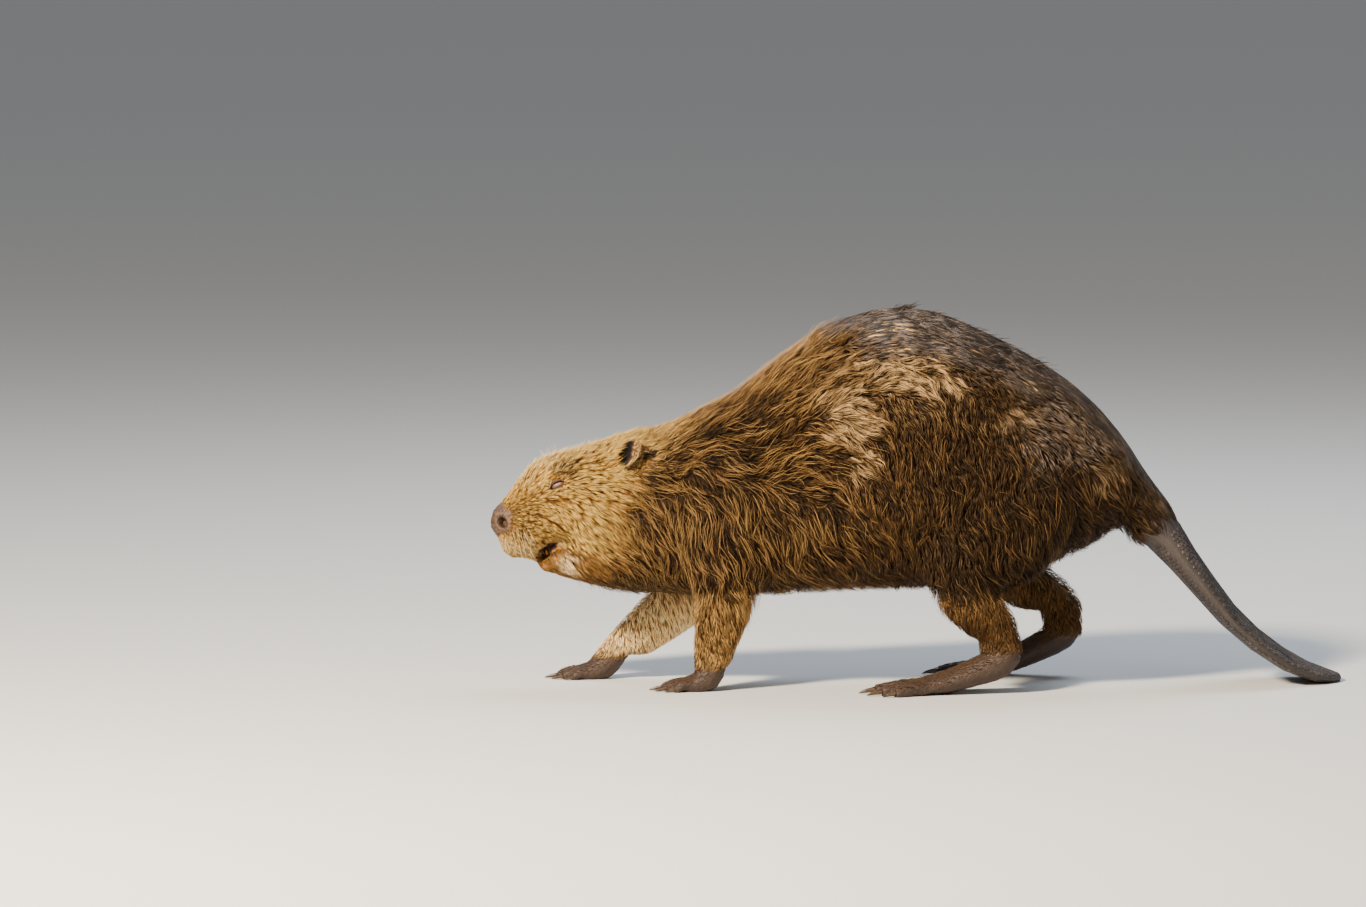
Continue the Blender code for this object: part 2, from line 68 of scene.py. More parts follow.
LIMBS = ("foreleg", "forefoot", "thigh", "shank", "hindfoot")
FLESH = ["head", "jaw", "nose", "ear_left", "ear_right", "neck", "trunk", "tail_root", "tail"]
FLESH += [f"{limb}_{side}" for limb in LIMBS for side in ("left", "right")]

EYE = np.array((72.0, 34.3, 225.0))
EYE_OUT = (-0.22, 0.96, 0.14)
EYE_R = 6.7
EYE_TILT = math.radians(14.0)
EAR = np.array((150.0, 47.0, 256.0))
EAR_OUT = (-0.62, 0.76, 0.1)
EAR_UP = (0.36, 0.16, 1.0)
EAR_SIZE = (13.5, 16)
NOSTRIL = np.array((11.0, 26.0, 181.5))
LEGS_PART = 300  # the X between the fore and the hind legs

VOXEL = 2.0  # of the remesh that joins the flesh
SWELL = 0.45  # of each solid before it
SKIN_KEPT = 0.46  # of the skin's triangles

COAT_PIECES = 8
HEAD_HAIRS, UNDER_LOCKS, PALE_LOCKS, GUARD_HAIRS, LIMB_HAIRS = 49000, 61600, 6500, 6400, 12800

# The outline of the back, as X and Z.
BACK_X = [0, 30, 60, 130, 200, 270, 330, 400, 450, 500, 560, 620, 680, 710, 760]
BACK_Z = [181, 228, 250, 273, 292, 331, 375, 411, 417, 407, 377, 345, 292, 255, 200]

# Pale patches of underfur, as X, Z, reach along X and Z, and strength.
PALE_PATCHES = [(444, 350, 50, 22, 1), (388, 311, 30, 31, 1), (399, 258, 17, 14, 0.9), (478, 338, 30, 15, 1)]
PALE_PATCHES += [(372, 283, 18, 14, 0.8), (562, 303, 24, 14, 0.4), (668, 240, 20, 15, 0.4)]
PALE_PATCHES += [(332, 366, 24, 9, 0.5)]
# Where the wet back has more pale streaks, as X, Z, and reach along X and Z.
WET_STREAKS = [(400, 388, 20, 5), (425, 397, 28, 7), (432, 376, 12, 5), (576, 346, 11, 6), (338, 376, 24, 9)]

# The lie of the coat seen from the side: X, Z, and by how many degrees the hairs rise as they run back.
LIE = [
    (12, 200, 48), (20, 160, -55), (28, 215, 46), (45, 236, 40), (70, 252, 24), (100, 262, 14),
    (130, 272, 10), (160, 280, 14), (185, 290, 24), (35, 190, -8), (50, 170, -25), (55, 150, -40),
    (75, 235, 18), (85, 222, -6), (100, 238, 2), (95, 210, -24), (85, 190, -32), (115, 225, -16),
    (120, 200, -28), (110, 180, -42), (90, 165, -42), (135, 235, -6), (140, 205, -22), (140, 180, -40),
    (130, 160, -42), (75, 140, -50), (100, 130, -45), (130, 125, -45), (170, 255, 8), (165, 225, -22),
    (165, 195, -50), (170, 165, -60), (160, 140, -55), (185, 262, 14), (205, 275, 22), (205, 245, 4),
    (200, 225, -28), (200, 195, -58), (205, 160, -64), (215, 120, -70), (230, 290, 34), (230, 265, 12),
    (235, 240, -45), (240, 205, -70), (240, 170, -75), (262, 310, 30), (265, 285, 8), (262, 250, -40),
    (270, 215, -70), (275, 170, -72), (280, 120, -75), (300, 335, 36), (300, 305, 26), (305, 285, 32),
    (300, 250, 20), (300, 210, -50), (310, 160, -65), (330, 360, 38), (335, 330, 24), (335, 300, 24),
    (330, 270, 38), (330, 235, 0), (335, 190, -60), (365, 385, 30), (370, 355, 22), (370, 320, 10),
    (370, 285, 0), (370, 250, -20), (410, 408, 8), (400, 370, 8), (400, 340, 5), (400, 310, -10),
    (400, 280, -24), (400, 240, -50), (400, 170, -60), (380, 120, -60), (450, 414, -4), (455, 380, -6),
    (455, 345, -14), (450, 310, -60), (455, 270, -80), (460, 220, -80), (460, 150, -70), (500, 406, -14),
    (500, 370, -16), (500, 338, -60), (505, 310, -80), (505, 260, -84), (505, 200, -80), (500, 130, -70),
    (550, 384, -24), (550, 350, -24), (550, 322, -66), (555, 290, -76), (555, 240, -82), (550, 190, -78),
    (600, 357, -34), (600, 325, -32), (605, 290, -45), (605, 250, -60), (600, 200, -70), (640, 330, -42),
    (645, 295, -40), (650, 260, -45), (650, 220, -55), (680, 292, -48), (690, 250, -48), (690, 215, -48),
    (710, 230, -52),
]


def at(x, y, z):
    return Vector((NOSE_X + x * MM, y * MM, z * MM))


def body(points):
    """X, distance out from the middle and Z of points, in millimetres, and their side as -1 or 1."""
    x = (points[:, 0] - NOSE_X) / MM
    y = points[:, 1] / MM
    return x, np.abs(y), points[:, 2] / MM, np.where(y < 0, -1.0, 1.0)


def ramp(v, low, high):
    t = np.clip((v - low) / (high - low), 0, 1)
    return t * t * (3 - 2 * t)


def fade(v, low, high):
    return 1 - ramp(v, low, high)


def spot(x, z, middle, stretch, inner, outer, ragged=0.0):
    """1 within the inner radius round a middle, 0 beyond the outer one, both stretched along X and Z."""
    return fade(np.hypot((x - middle[0]) / stretch[0], (z - middle[1]) / stretch[1]) + ragged, inner, outer)


def bell(v, middle, width):
    return np.exp(-(((v - middle) / width) ** 2))


def mix(a, b, t):
    """a where t is 0 and b where it is 1, for numbers and for colours."""
    t = np.asarray(t)
    if t.ndim == 1 and (np.ndim(a) == 2 or np.ndim(b) == 2 or np.size(a) == 3):
        t = t[:, None]
    return a + (b - a) * t


def layered(value, *layers):
    """A value with others laid over it in turn, each by its share."""
    for over, share in layers:
        value = mix(value, over, share)
    return value


def waves(points, size, seed, count=7):
    """Soft random hills between about -1 and 1, of a size in millimetres."""
    r = np.random.default_rng(seed)
    out = np.zeros(len(points))
    for _ in range(count):
        k = r.normal(size=3)
        k *= r.uniform(0.7, 1.5) / np.linalg.norm(k)
        out += np.sin(points @ k * (2 * math.pi / (size * MM)) + r.uniform(0, 6.28))
    return out / count**0.5


def unit(v):
    return v / np.maximum(np.linalg.norm(v, axis=-1, keepdims=True), 1e-12)


def along_skin(v, n):
    """Directions v laid flat on the skin."""
    return unit(v - n * np.sum(v * n, 1, keepdims=True))


def sided(direction, side):
    """A direction given for the side where Y is positive, turned to the side of each point."""
    return np.array(direction) * np.stack([np.ones_like(side), side, np.ones_like(side)], 1)


def rgb(*colour):
    """Linear light from a colour in 8-bit sRGB."""
    c = np.array(colour, float) / 255
    return np.where(c <= 0.04045, c / 12.92, ((c + 0.055) / 1.055) ** 2.4)


# ---------------- regions of the body


def back_line(x):
    return np.interp(x, BACK_X, BACK_Z)


def head_mask(p):
    """1 on the straw-coloured head, 0 on the dark neck behind it, with a ragged edge."""
    x, _, z, _ = body(p)
    edge = np.interp(z, [100, 120, 150, 193, 236, 265, 290], [104, 112, 128, 139, 157, 179, 203])
    return fade(x + 9 * waves(p, 14, 3), edge - 20, edge + 24)


def wet_mask(p):
    """1 on the sleek wet fur over the back and rump."""
    x, _, z, _ = body(p)
    places = [335, 357, 384, 417, 450, 505, 530, 571, 604, 648, 681, 720]
    low = np.interp(x, places, [404, 388, 381, 370, 368, 364, 344, 338, 328, 300, 266, 215])
    z = z + 7 * waves(p, 50, 5) + 5 * waves(p, 16, 6)
    return ramp(z, low - 9, low + 7) * ramp(x, 326, 352)


def pale_mask(p):
    """1 on the patches of the upper flank where the pale underfur shows."""
    x, _, z, _ = body(p)
    ragged = 0.4 * waves(p, 24, 8) + 0.3 * waves(p, 9, 7)
    out = np.zeros(len(p))
    for cx, cz, rx, rz, most in PALE_PATCHES:
        out = np.maximum(out, most * spot(x, z, (cx, cz), (rx, rz), 0.35, 1.1, ragged))
    return out


def leg_mask(p):
    """1 on the furry legs."""
    x, y, z, _ = body(p)
    return fade(z + 6 * waves(p, 20, 9), 84, 122) * ramp(y, 22, 36) * ((x > 60) & (x < 690))


def foot_mask(p):
    """1 on the bare feet."""
    x, y, z, _ = body(p)
    fore = (x < LEGS_PART) * fade(z, 20, 34)
    hind = (x > LEGS_PART) * (x < 700) * np.maximum(fade(z, 40, 60), (x < 520) * fade(z, 45, 60))
    return np.where(y > 18, np.maximum(fore, hind), 0.0)


def tail_mask(p):
    """1 on the scaly paddle."""
    x, _, z, _ = body(p)
    return ramp((x - 722) * 0.684 - (z - 180) * 0.729 + 2.5 * waves(p, 16, 12), -4, 8) * (x > 690)


def pad_mask(p):
    """1 on the bare nose pad."""
    x, _, z, _ = body(p)
    return spot(x, z, (2, 184), (21, 19.5), 0.84, 1.06, 0.07 * waves(p, 8, 14))


def nostril_distance(p):
    """How far out of the nostril points are: 1 at its edge."""
    x, y, z, _ = body(p)
    back, out, up = x - NOSTRIL[0], y - NOSTRIL[1], z - NOSTRIL[2]
    return np.sqrt((back / 5.6) ** 2 + (out / 11) ** 2 + ((up + back * 0.35) / 6.6) ** 2)


def mouth_mask(p, n):
    """1 on the insides of the lips."""
    x, y, z, _ = body(p)
    line = np.interp(x, [40, 45.5, 51, 58, 66, 74, 84], [128, 136, 143, 148.5, 153.5, 157, 158])
    inside = (np.abs(z - line) < 9) & (x > 42) & (x < 74)
    facing = np.where(z > line, -n[:, 2], n[:, 2])
    tall = np.interp(x, [56, 62, 74], [7, 5, 1])
    deep = (y < np.interp(x, [50, 58, 66, 74], [14, 22, 27, 30])) & (np.abs(z - line) < tall) & (x > 54)
    return inside * np.maximum(ramp(facing, 0.35, 0.7) * (x < 68), deep)


def distance(p, place):
    """How far points are from a place on either side of the animal, 4 mm out from it."""
    x, y, z, _ = body(p)
    return np.sqrt((x - place[0]) ** 2 + (y - place[1] - 4) ** 2 + (z - place[2]) ** 2)


def own_places(p, middle, guide, out):
    """Points in the millimetres of a small feature: along its guide, across it and out of the skin."""
    x, y, z, _ = body(p)
    out = unit(np.array(out))
    guide = unit(guide - out * (guide @ out))
    d = np.stack([x, y, z], 1) - middle
    return d @ guide, d @ np.cross(guide, out), d @ out


def eye_place(p):
    """Points in the eye's own millimetres: back along the slit, up, and out."""
    return own_places(p, EYE, np.array((math.cos(EYE_TILT), 0, math.sin(EYE_TILT))), EYE_OUT)


def ear_place(p):
    """Points in the ear's own millimetres: ahead, up the ear, out of it, and how far from its middle."""
    up, ahead, out = own_places(p, EAR, unit(np.array(EAR_UP)), EAR_OUT)
    return ahead, up, out, np.hypot(ahead / EAR_SIZE[0], (up - 2) / EAR_SIZE[1])


def ear_hollow(p, n):
    """1 in the hollow of the ear."""
    _, _, out, edge = ear_place(p)
    facing = np.sum(n * sided(EAR_OUT, body(p)[3]), 1)
    return fade(edge, 0.9, 1.08) * (np.abs(out) < 16) * ramp(facing, -0.5, -0.1)


def ear_shaded_front(p, n):
    """1 in the front of the hollow, painted near black as painted shade in the ear's opening, 0 on the paler
    inside of its rear wall.
    """
    ahead, up, _, _ = ear_place(p)
    return ear_hollow(p, n) * ramp(ahead - 0.3 * up + 1.5 * waves(p, 6, 15), -5, 2.5)


def ear_rim_and_shadow(p):
    """1 on the dark rear rim of the ear, dark fur with painted shade, and 1 in the fold close behind it,
    where the ear's shadow is painted dark on skin and hairs.
    """
    ahead, up, out, edge = ear_place(p)
    rim = ramp(edge, 0.72, 0.86) * fade(edge, 0.96, 1.06) * ramp(-ahead, 3, 8) * (out > -7)
    # the fold behind the ear, where the ear's painted shadow falls
    fold = ramp(edge, 0.95, 1.05) * fade(edge, 1.22, 1.4) * ramp(-ahead - 0.2 * up, 2, 7)
    return rim, fold * (np.abs(out) < 20)


def near_ear(p):
    return fade(distance(p, EAR), 17, 21)


def slit_line(a):
    """The height of the middle of the slit between the lids, along the eye."""
    return np.interp(a, [-8, -5, -2, 1, 4, 7], [-2.2, -1.2, 0.1, 0.8, 0.9, 0.3])


def lid_mask(p):
    """1 on the bare lids."""
    a, b, c = eye_place(p)
    return spot(a, b, (-0.3, -0.9), (8.6, 4.8), 0.86, 1.08) * (c > -4)


def bare_mask(p, n):
    """1 where no hair grows."""
    sole = ramp(-n[:, 2], 0.3, 0.6) * (body(p)[2] < 14)
    bare = (tail_mask(p), mouth_mask(p, n), ramp(ear_shaded_front(p, n), 0.2, 0.6), lid_mask(p), sole)
    return np.maximum.reduce([pad_mask(p), *bare])


def coat_depth(p):
    """How far the skin lies under the tips of the coat, in millimetres."""
    x, _, z, _ = body(p)
    below = back_line(x) - z
    places = [0, 15, 30, 70, 120, 160, 210, 280, 620, 700, 735]
    d = np.interp(x, places, [0.3, 0.8, 1.8, 3, 4.5, 5, 9, 11, 11, 7, 2])
    d = np.where(x > 160, d * mix(0.75, 1.0, ramp(below, 10, 90)), d)
    a, b, c = eye_place(p)
    d = layered(
        d,
        (3.4, wet_mask(p) * 0.9),
        (np.interp(z, [20, 60, 110], [1.2, 4, 8]), leg_mask(p)),
        (0.5, foot_mask(p)),
        (0.6, tail_mask(p)),
        (0.4, fade(distance(p, EAR), 20, 30)),
        (0.4, pad_mask(p)),
        (1.0, fade(np.hypot(a, b), 7, 17) * (c > -20)),
        (0.5, spot(x, z, (58, 148), (1, 1), 14, 28) * (x < 95)),
    )
    crown = ramp(below, -40, 0) * fade(below, 14, 34) * ramp(x, 14, 30) * fade(x, 90, 130)
    return d - 2.2 * crown


def flow(p, n):
    """The lie of the coat: unit vectors along the skin, the way the hairs point."""
    x, y, z, side = body(p)
    total = np.zeros((len(p), 2))
    for lx, lz, degrees in LIE:
        a = math.radians(degrees)
        weight = ((x - lx) ** 2 + (z - lz) ** 2 + 150) ** -3.0 * 1e9
        total += weight[:, None] * np.array((math.cos(a), math.sin(a)))
    a = np.arctan2(total[:, 1], total[:, 0])
    wild = (1 - wet_mask(p)) * mix(1.0, 0.4, head_mask(p))
    a = a + wild * (0.3 * waves(p, 46, 21) + 0.22 * waves(p, 17, 22))
    a = mix(a, np.clip(a, -0.7, 0.7), ramp(n[:, 2], 0.6, 0.95))
    out = side * ramp(y, 0, 45) * (0.1 + 0.12 * waves(p, 50, 25))
    down_leg = np.stack([np.where(x < LEGS_PART, 0.25, 0.1), 0 * x, -np.ones_like(x)], 1)
    f = layered(
        np.stack([np.cos(a), out, np.sin(a)], 1),
        (down_leg, leg_mask(p)),
        (np.array((-1.0, 0.0, -0.15)), foot_mask(p)),
        (sided((0.5, 0.5, -0.6), side), fade(x, 4, 26) * fade(z, 170, 195)),
        (sided((0.45, 0.3, 0.8), side), near_ear(p)),
    )
    return along_skin(f, n)


# ---------------- colours

STRAW, STRAW_LIGHT, STRAW_DARK = rgb(212, 146, 58), rgb(255, 212, 116), rgb(60, 29, 6)
BROWN, BROWN_DARK, BROWN_LIGHT = rgb(68, 46, 22), rgb(22, 13, 5), rgb(116, 82, 43)
GOLD, ORANGE = rgb(230, 178, 104), rgb(194, 122, 54)
WET, WET_LIGHT = rgb(54, 43, 34), rgb(150, 128, 110)
PALE, TAN, CREAM = rgb(214, 172, 118), rgb(240, 192, 124), rgb(252, 226, 176)
PAD, PAD_TOP, PAD_UNDER = rgb(112, 82, 58), rgb(82, 66, 58), rgb(52, 37, 26)
NOSTRIL_SHADE, EAR_OPENING_SHADE, EAR_WALL = rgb(10, 5, 3), rgb(5, 2, 1), rgb(104, 76, 50)
LID, LID_PALE_AND_HIGHLIGHT, LID_SEAM, EYE_CORNER = rgb(84, 58, 47), rgb(176, 136, 120), rgb(34, 20, 18), rgb(30, 17, 10)
MOUTH_SHADE, PAW, TAIL = rgb(44, 22, 16), rgb(66, 52, 44), rgb(62, 55, 52)
HORN_DARK, HORN_LIGHT = rgb(38, 28, 22), rgb(98, 78, 60)
EYE_DARK, EYE_BROWN = rgb(16, 9, 6), rgb(52, 32, 20)
ENAMEL_DARK, ENAMEL_LIGHT = rgb(196, 104, 34), rgb(232, 158, 74)


def pad_colour(p):
    """The nose pad: darker in front and below, greyer on top, and mottled."""
    x, _, z, _ = body(p)
    pad = PAD * mix(0.4, 1.0, ramp(x + 0.25 * (z - 184) + 1.2 * waves(p, 7, 16), -2, 10))[:, None]
    pad = layered(pad, (PAD_TOP, ramp(z, 184, 196) * 0.9), (PAD_UNDER, fade(z - 0.4 * x, 160, 170)))
    return pad * np.clip(1 + 0.4 * waves(p, 5, 18) + 0.3 * waves(p, 1.9, 19), 0.35, 1.7)[:, None]


def ground_colour(p, n):
    """The colour of the coat's depths and of bare skin, by place."""
    x, _, z, _ = body(p)
    a, b, _ = eye_place(p)
    lid = lid_mask(p)
    # the lower lid below the slit, which carries a painted highlight
    lower_lid_highlight = bell(b, slit_line(a) - 2.3, 1.5) * bell(a, 1.0, 4.2)
    thin_coat = fade(coat_depth(p), 1.5, 3.5)
    return layered(
        np.tile(mix(BROWN_DARK, BROWN, 0.2), (len(p), 1)),
        (PALE * 0.3, pale_mask(p)),
        (mix(WET, WET_LIGHT, 0.14), wet_mask(p)),
        (mix(STRAW_DARK * 0.85, mix(STRAW_DARK, STRAW, 0.35), thin_coat), head_mask(p)),
        (mix(BROWN, TAN, 0.4), leg_mask(p) * 0.8),
        (mix(STRAW_DARK, BROWN, 0.4), spot(x, z, (34, 178), (1, 1.25), 14, 30) * (x < 62) * 0.7),
        (PAW, foot_mask(p)),
        (TAIL, tail_mask(p)),
        (pad_colour(p), pad_mask(p)),
        (PAD * 0.3, fade(nostril_distance(p), 1.0, 1.7) * 0.8),
        # the insides of the lips painted dark brown: painted shade in the gap of the mouth
        (MOUTH_SHADE, mouth_mask(p, n)),
        (EAR_WALL * mix(0.45, 0.8, ramp(waves(p, 7, 17), -1, 1))[:, None], ear_hollow(p, n)),
        # the front of the ear's hollow painted near black: painted shade in the ear's opening
        (EAR_OPENING_SHADE, ear_shaded_front(p, n)),
        # the ear's rear rim, dark fur with painted shade, and the ear's painted shadow in the fold behind it
        (BROWN_DARK, np.maximum(*ear_rim_and_shadow(p))),
        (LID, lid),
        # the pale lower lid: the lid's own pinkish colour with a painted highlight of its wet skin
        (LID_PALE_AND_HIGHLIGHT, lower_lid_highlight * lid),
        (LID_SEAM, bell(b, slit_line(a), 0.55) * (np.abs(a) < 8) * lid),
        (EYE_CORNER, spot(a, b, (-9.5, -2.4), (3.6, 2.4), 0.6, 1.1)),
        # the inside of the nostril painted near black: painted shade in its hole
        (NOSTRIL_SHADE, fade(nostril_distance(p), 0.75, 1.05)),
    )


def head_colours(p, n, lot):
    """Root and tip colours of the hairs of the head, by place and by each hair's lot."""
    x, _, z, _ = body(p)
    rear = ramp(x - 0.35 * (z - 190), 96, 150)
    # darker from the eye to the nose, over the eye and round the whiskers
    bar = fade(np.abs(z - np.interp(x, [20, 50, 72, 100], [196, 208, 228, 242])), 4, 15)
    bar = bar * ramp(x, 16, 30) * fade(x, 70, 100)
    brow = spot(x, z, (75, 238), (1.6, 1), 5, 13)
    whiskers = spot(x, z, (33, 184), (1.25, 1.25), 10, 24) * (x < 62)
    speckle = ramp(rng.random(len(p)) + 0.5 * waves(p, 5.5, 34), 0.1, 0.55)
    dark = np.maximum.reduce([bar * 0.75 * speckle, brow * (0.4 + 0.6 * speckle), whiskers * speckle])
    # pale lip and cream chin, and a redder front to the lower jaw
    lip = fade(np.abs(z - np.interp(x, [10, 30, 45, 70], [160, 150, 147, 164])), 3, 13) * fade(x, 55, 90)
    jaw = (z < np.interp(x, [45, 74, 130], [142, 157, 150])) & (x > 40)
    chin = spot(x, z, (78, 139), (1.4, 1), 3, 11, 3 * waves(p, 9, 35))
    chin = chin * (z < np.interp(x, [50, 74, 100], [146, 158, 162]))
    wall = ear_hollow(p, n)
    rim, fold = ear_rim_and_shadow(p)
    # dark fur and the ear's painted shadow round the back of the ear
    ear_fur_and_shadow = np.maximum(rim * (1 - wall), fold)
    a, b, _ = eye_place(p)
    root = layered(
        np.tile(mix(STRAW_DARK, BROWN_DARK, 0.7), (len(p), 1)),
        (BROWN_DARK, rear * 0.8),
        (BROWN_DARK, dark * 0.8),
        (BROWN_DARK, jaw * 0.7),
        (TAN * 0.5, chin),
        (EAR_WALL * 0.6, wall),
        (BROWN_DARK, ear_fur_and_shadow),
    )
    tip = layered(
        mix(STRAW_DARK, STRAW, ramp(lot, 0.26, 0.44)),
        (STRAW_LIGHT, ramp(lot, 0.48, 0.7)),
        (mix(GOLD, ORANGE, 0.3), rear * 0.5),
        (mix(BROWN_LIGHT, STRAW_DARK, 0.35), dark * mix(0.66, 0.95, brow)),
        (mix(STRAW_LIGHT, CREAM, 0.5) * 0.9, lip * 0.7),
        (mix(BROWN, ORANGE, 0.35), jaw * 0.8),
        (CREAM, chin * ramp(lot, 0.05, 0.35)),
        (mix(STRAW, STRAW_LIGHT, 0.4), near_ear(p) * 0.6),
        (mix(EAR_WALL, TAN, 0.35 + 0.55 * lot), wall),
        (BROWN_DARK, ear_fur_and_shadow * 0.9),
        (BROWN_DARK, spot(a, b, (-10, -2.2), (5, 3.6), 0.6, 1.2)),
    )
    return root, tip


def guard_tips(p, lot, warm):
    """Tips of the long hairs: golden on the neck, brown further back."""
    x, _, z, _ = body(p)
    rump = ramp(x, 450, 560) * ramp(z - np.interp(x, [450, 720], [330, 240]), -40, 20)
    return layered(
        mix(warm * 0.6, GOLD * 1.05, lot),
        (mix(BROWN, mix(BROWN_LIGHT, ORANGE, 0.3), lot), ramp(x, 350, 450) * 0.85),
        (mix(BROWN, BROWN_LIGHT, lot), rump),
    )


def under_tips(p, lot, wet):
    """Tips of the underfur: brown, darker on the flank, greyer on the rump, paler high on the shoulder."""
    x, _, z, _ = body(p)
    tone = np.clip(0.46 + 0.28 * waves(p, 26, 31) + 1.1 * (lot - 0.5), 0, 1)
    tip = mix(mix(BROWN_DARK, BROWN, 0.6), BROWN_LIGHT, tone) * mix(0.72, 1.0, ramp(x, 260, 360))[:, None]
    tip = mix(tip, mix(BROWN_DARK, BROWN, 0.2 + 0.9 * lot[:, None]), ramp(x, 430, 500) * 0.72 * (1 - wet))
    tip = tip * (1 - 0.35 * spot(x, z, (452, 304), (36, 22), 0.5, 1.2))[:, None]
    rump = spot(x, z, (626, 292), (64, 56), 0.4, 1.1, 0.25 * waves(p, 22, 44)) * (1 - wet)
    haze = spot(x, z, (425, 322), (100, 62), 0.4, 1.1, 0.2 * waves(p, 30, 39))
    haze = haze * np.maximum(ramp(z, 292, 316), fade(x, 400, 425))
    return layered(
        tip,
        (mix(WET, WET_LIGHT, ramp(lot, 0.25, 0.8) * 1.1), rump * 0.9),
        (mix(BROWN_LIGHT, PALE, 0.4), haze * 0.6 * ramp(lot, 0.2, 0.7)),
        (mix(BROWN_LIGHT, GOLD, 0.2), fade(x, 330, 400) * ramp(z, 290, 350) * 0.6),
    )


def wet_tips(p, lot, kind):
    """Tips on the wet back: streaks of pale hair over slate brown."""
    x, _, z, _ = body(p)
    near = np.zeros(len(p))
    for cx, cz, rx, rz in WET_STREAKS:
        near = np.maximum(near, spot(x, z, (cx, cz), (rx, rz), 0.6, 1.4))
    streak = ramp(rng.random(len(p)) + 0.12 * waves(p, 20, 36) + 0.34 * near, 1.1, 1.25)
    tone = 0.2 + 0.12 * waves(p, 34, 38) + 0.14 * lot - 0.12 * ramp(x, 470, 600)
    slate = mix(WET, WET_LIGHT, np.clip(tone, 0, 1))
    return layered(slate, (GOLD * 0.7, 0.35 * (kind == "guard")), (PALE * 1.15, streak * 0.9))


def hair_colours(p, n, kind, lot):
    """Root and tip colours of hairs of a kind, with their roots at p, each with its own lot."""
    x, _, z, _ = body(p)
    shade = rng.uniform(0.85, 1.12, len(p))[:, None]
    wet, pale, legs, feet = wet_mask(p), pale_mask(p), leg_mask(p), foot_mask(p)
    head = ramp(head_mask(p) + 0.8 * (rng.random(len(p)) - 0.5), 0.25, 0.75)
    if kind == "guard":
        orange = ramp(waves(p, 30, 32) + waves(p, 12, 35) * 0.5, 0.1, 1.2) * fade(x, 250, 400) * 0.8
        warm = mix(GOLD, ORANGE, orange)
        root, tip = mix(BROWN, warm, 0.25), guard_tips(p, lot, warm)
    else:
        root, tip = np.tile(BROWN_DARK, (len(p), 1)), under_tips(p, lot, wet)
    neck = fade(x, 300, 350) * fade(z, 300, 350)
    tip = tip * (mix(1.0, 0.8, fade(z, 150, 300)) * (1 - (0.17 + 0.08 * ramp(z, 200, 240)) * neck))[:, None]
    matted = pale * ramp(rng.random(len(p)), 0.05, 0.3) * 0.95
    if kind == "pale":
        root = mix(root, PALE * 0.12, pale)
        matted = ramp(pale + 0.4 * (rng.random(len(p)) - 0.5), 0.15, 0.8)
    pale_tip = mix(PALE * 0.16, PALE * (1.12 + 0.2 * waves(p, 12, 40)[:, None]), ramp(lot, 0.2, 0.8))
    slate = wet_tips(p, lot, kind)
    fore = x < 330
    far = (p[:, 1] > 0) * fore * ramp(z, 24, 44)
    leg_tip = mix(mix(BROWN, BROWN_LIGHT, lot), GOLD, ramp(lot, 0.2, 0.75) * fore * 0.85)
    leg_tip = mix(leg_tip, mix(TAN, CREAM, lot) * 1.3, far)
    head_root, head_tip = head_colours(p, n, lot)
    root = layered(
        root,
        (slate * 0.92, wet),
        (mix(BROWN, TAN * 0.6, far * 0.8), legs),
        (head_root, head),
        (PAW * 0.6, feet),
    )
    tip = layered(
        tip,
        (pale_tip, matted),
        (slate, wet),
        (leg_tip, legs),
        (head_tip, head),
        (mix(PAW, BROWN_LIGHT, 0.2 + 0.5 * lot), feet),
    )
    return root * shade, tip * shade


# ---------------- mesh helpers


def arrays(mesh):
    co = np.empty(len(mesh.vertices) * 3, np.float32)
    mesh.vertices.foreach_get("co", co)
    return co.reshape(-1, 3).astype(float)


def vertex_normals(mesh):
    out = np.empty(len(mesh.vertices) * 3, np.float32)
    mesh.vertex_normals.foreach_get("vector", out)
    return out.reshape(-1, 3).astype(float)


def put(mesh, co):
    mesh.vertices.foreach_set("co", co.astype(np.float32).ravel())
    mesh.update()


def add_object(name, data):
    obj = bpy.data.objects.new(name, data)
    bpy.context.scene.collection.objects.link(obj)
    return obj


def object_from(bm, name):
    mesh = bpy.data.meshes.new(name)
    bm.to_mesh(mesh)
    bm.free()
    return add_object(name, mesh)


def settle(obj):
    """Replaces an object's mesh by what its modifiers make of it."""
    graph = bpy.context.evaluated_depsgraph_get()
    mesh = bpy.data.meshes.new_from_object(obj.evaluated_get(graph))
    obj.modifiers.clear()
    obj.data = mesh


def dress(obj, mat, slot, *replaced):
    """Gives a piece its one material and its body, and hides the CAD nodes that it stands for. The slot is
    not used.
    """
    obj.data.materials.clear()
    obj.data.materials.append(mat)
    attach(obj, "root")
    if replaced:
        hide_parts(*replaced)


def paint(mesh, colours, gloss):
    """Stores each vertex's colour and roughness for the materials."""
    full = np.ones((len(colours), 4), np.float32)
    full[:, :3] = np.clip(colours, 0, 1)
    mesh.color_attributes.new("hue", "FLOAT_COLOR", "POINT").data.foreach_set("color", full.ravel())
    mesh.attributes.new("gloss", "FLOAT", "POINT").data.foreach_set("value", gloss.astype(np.float32))


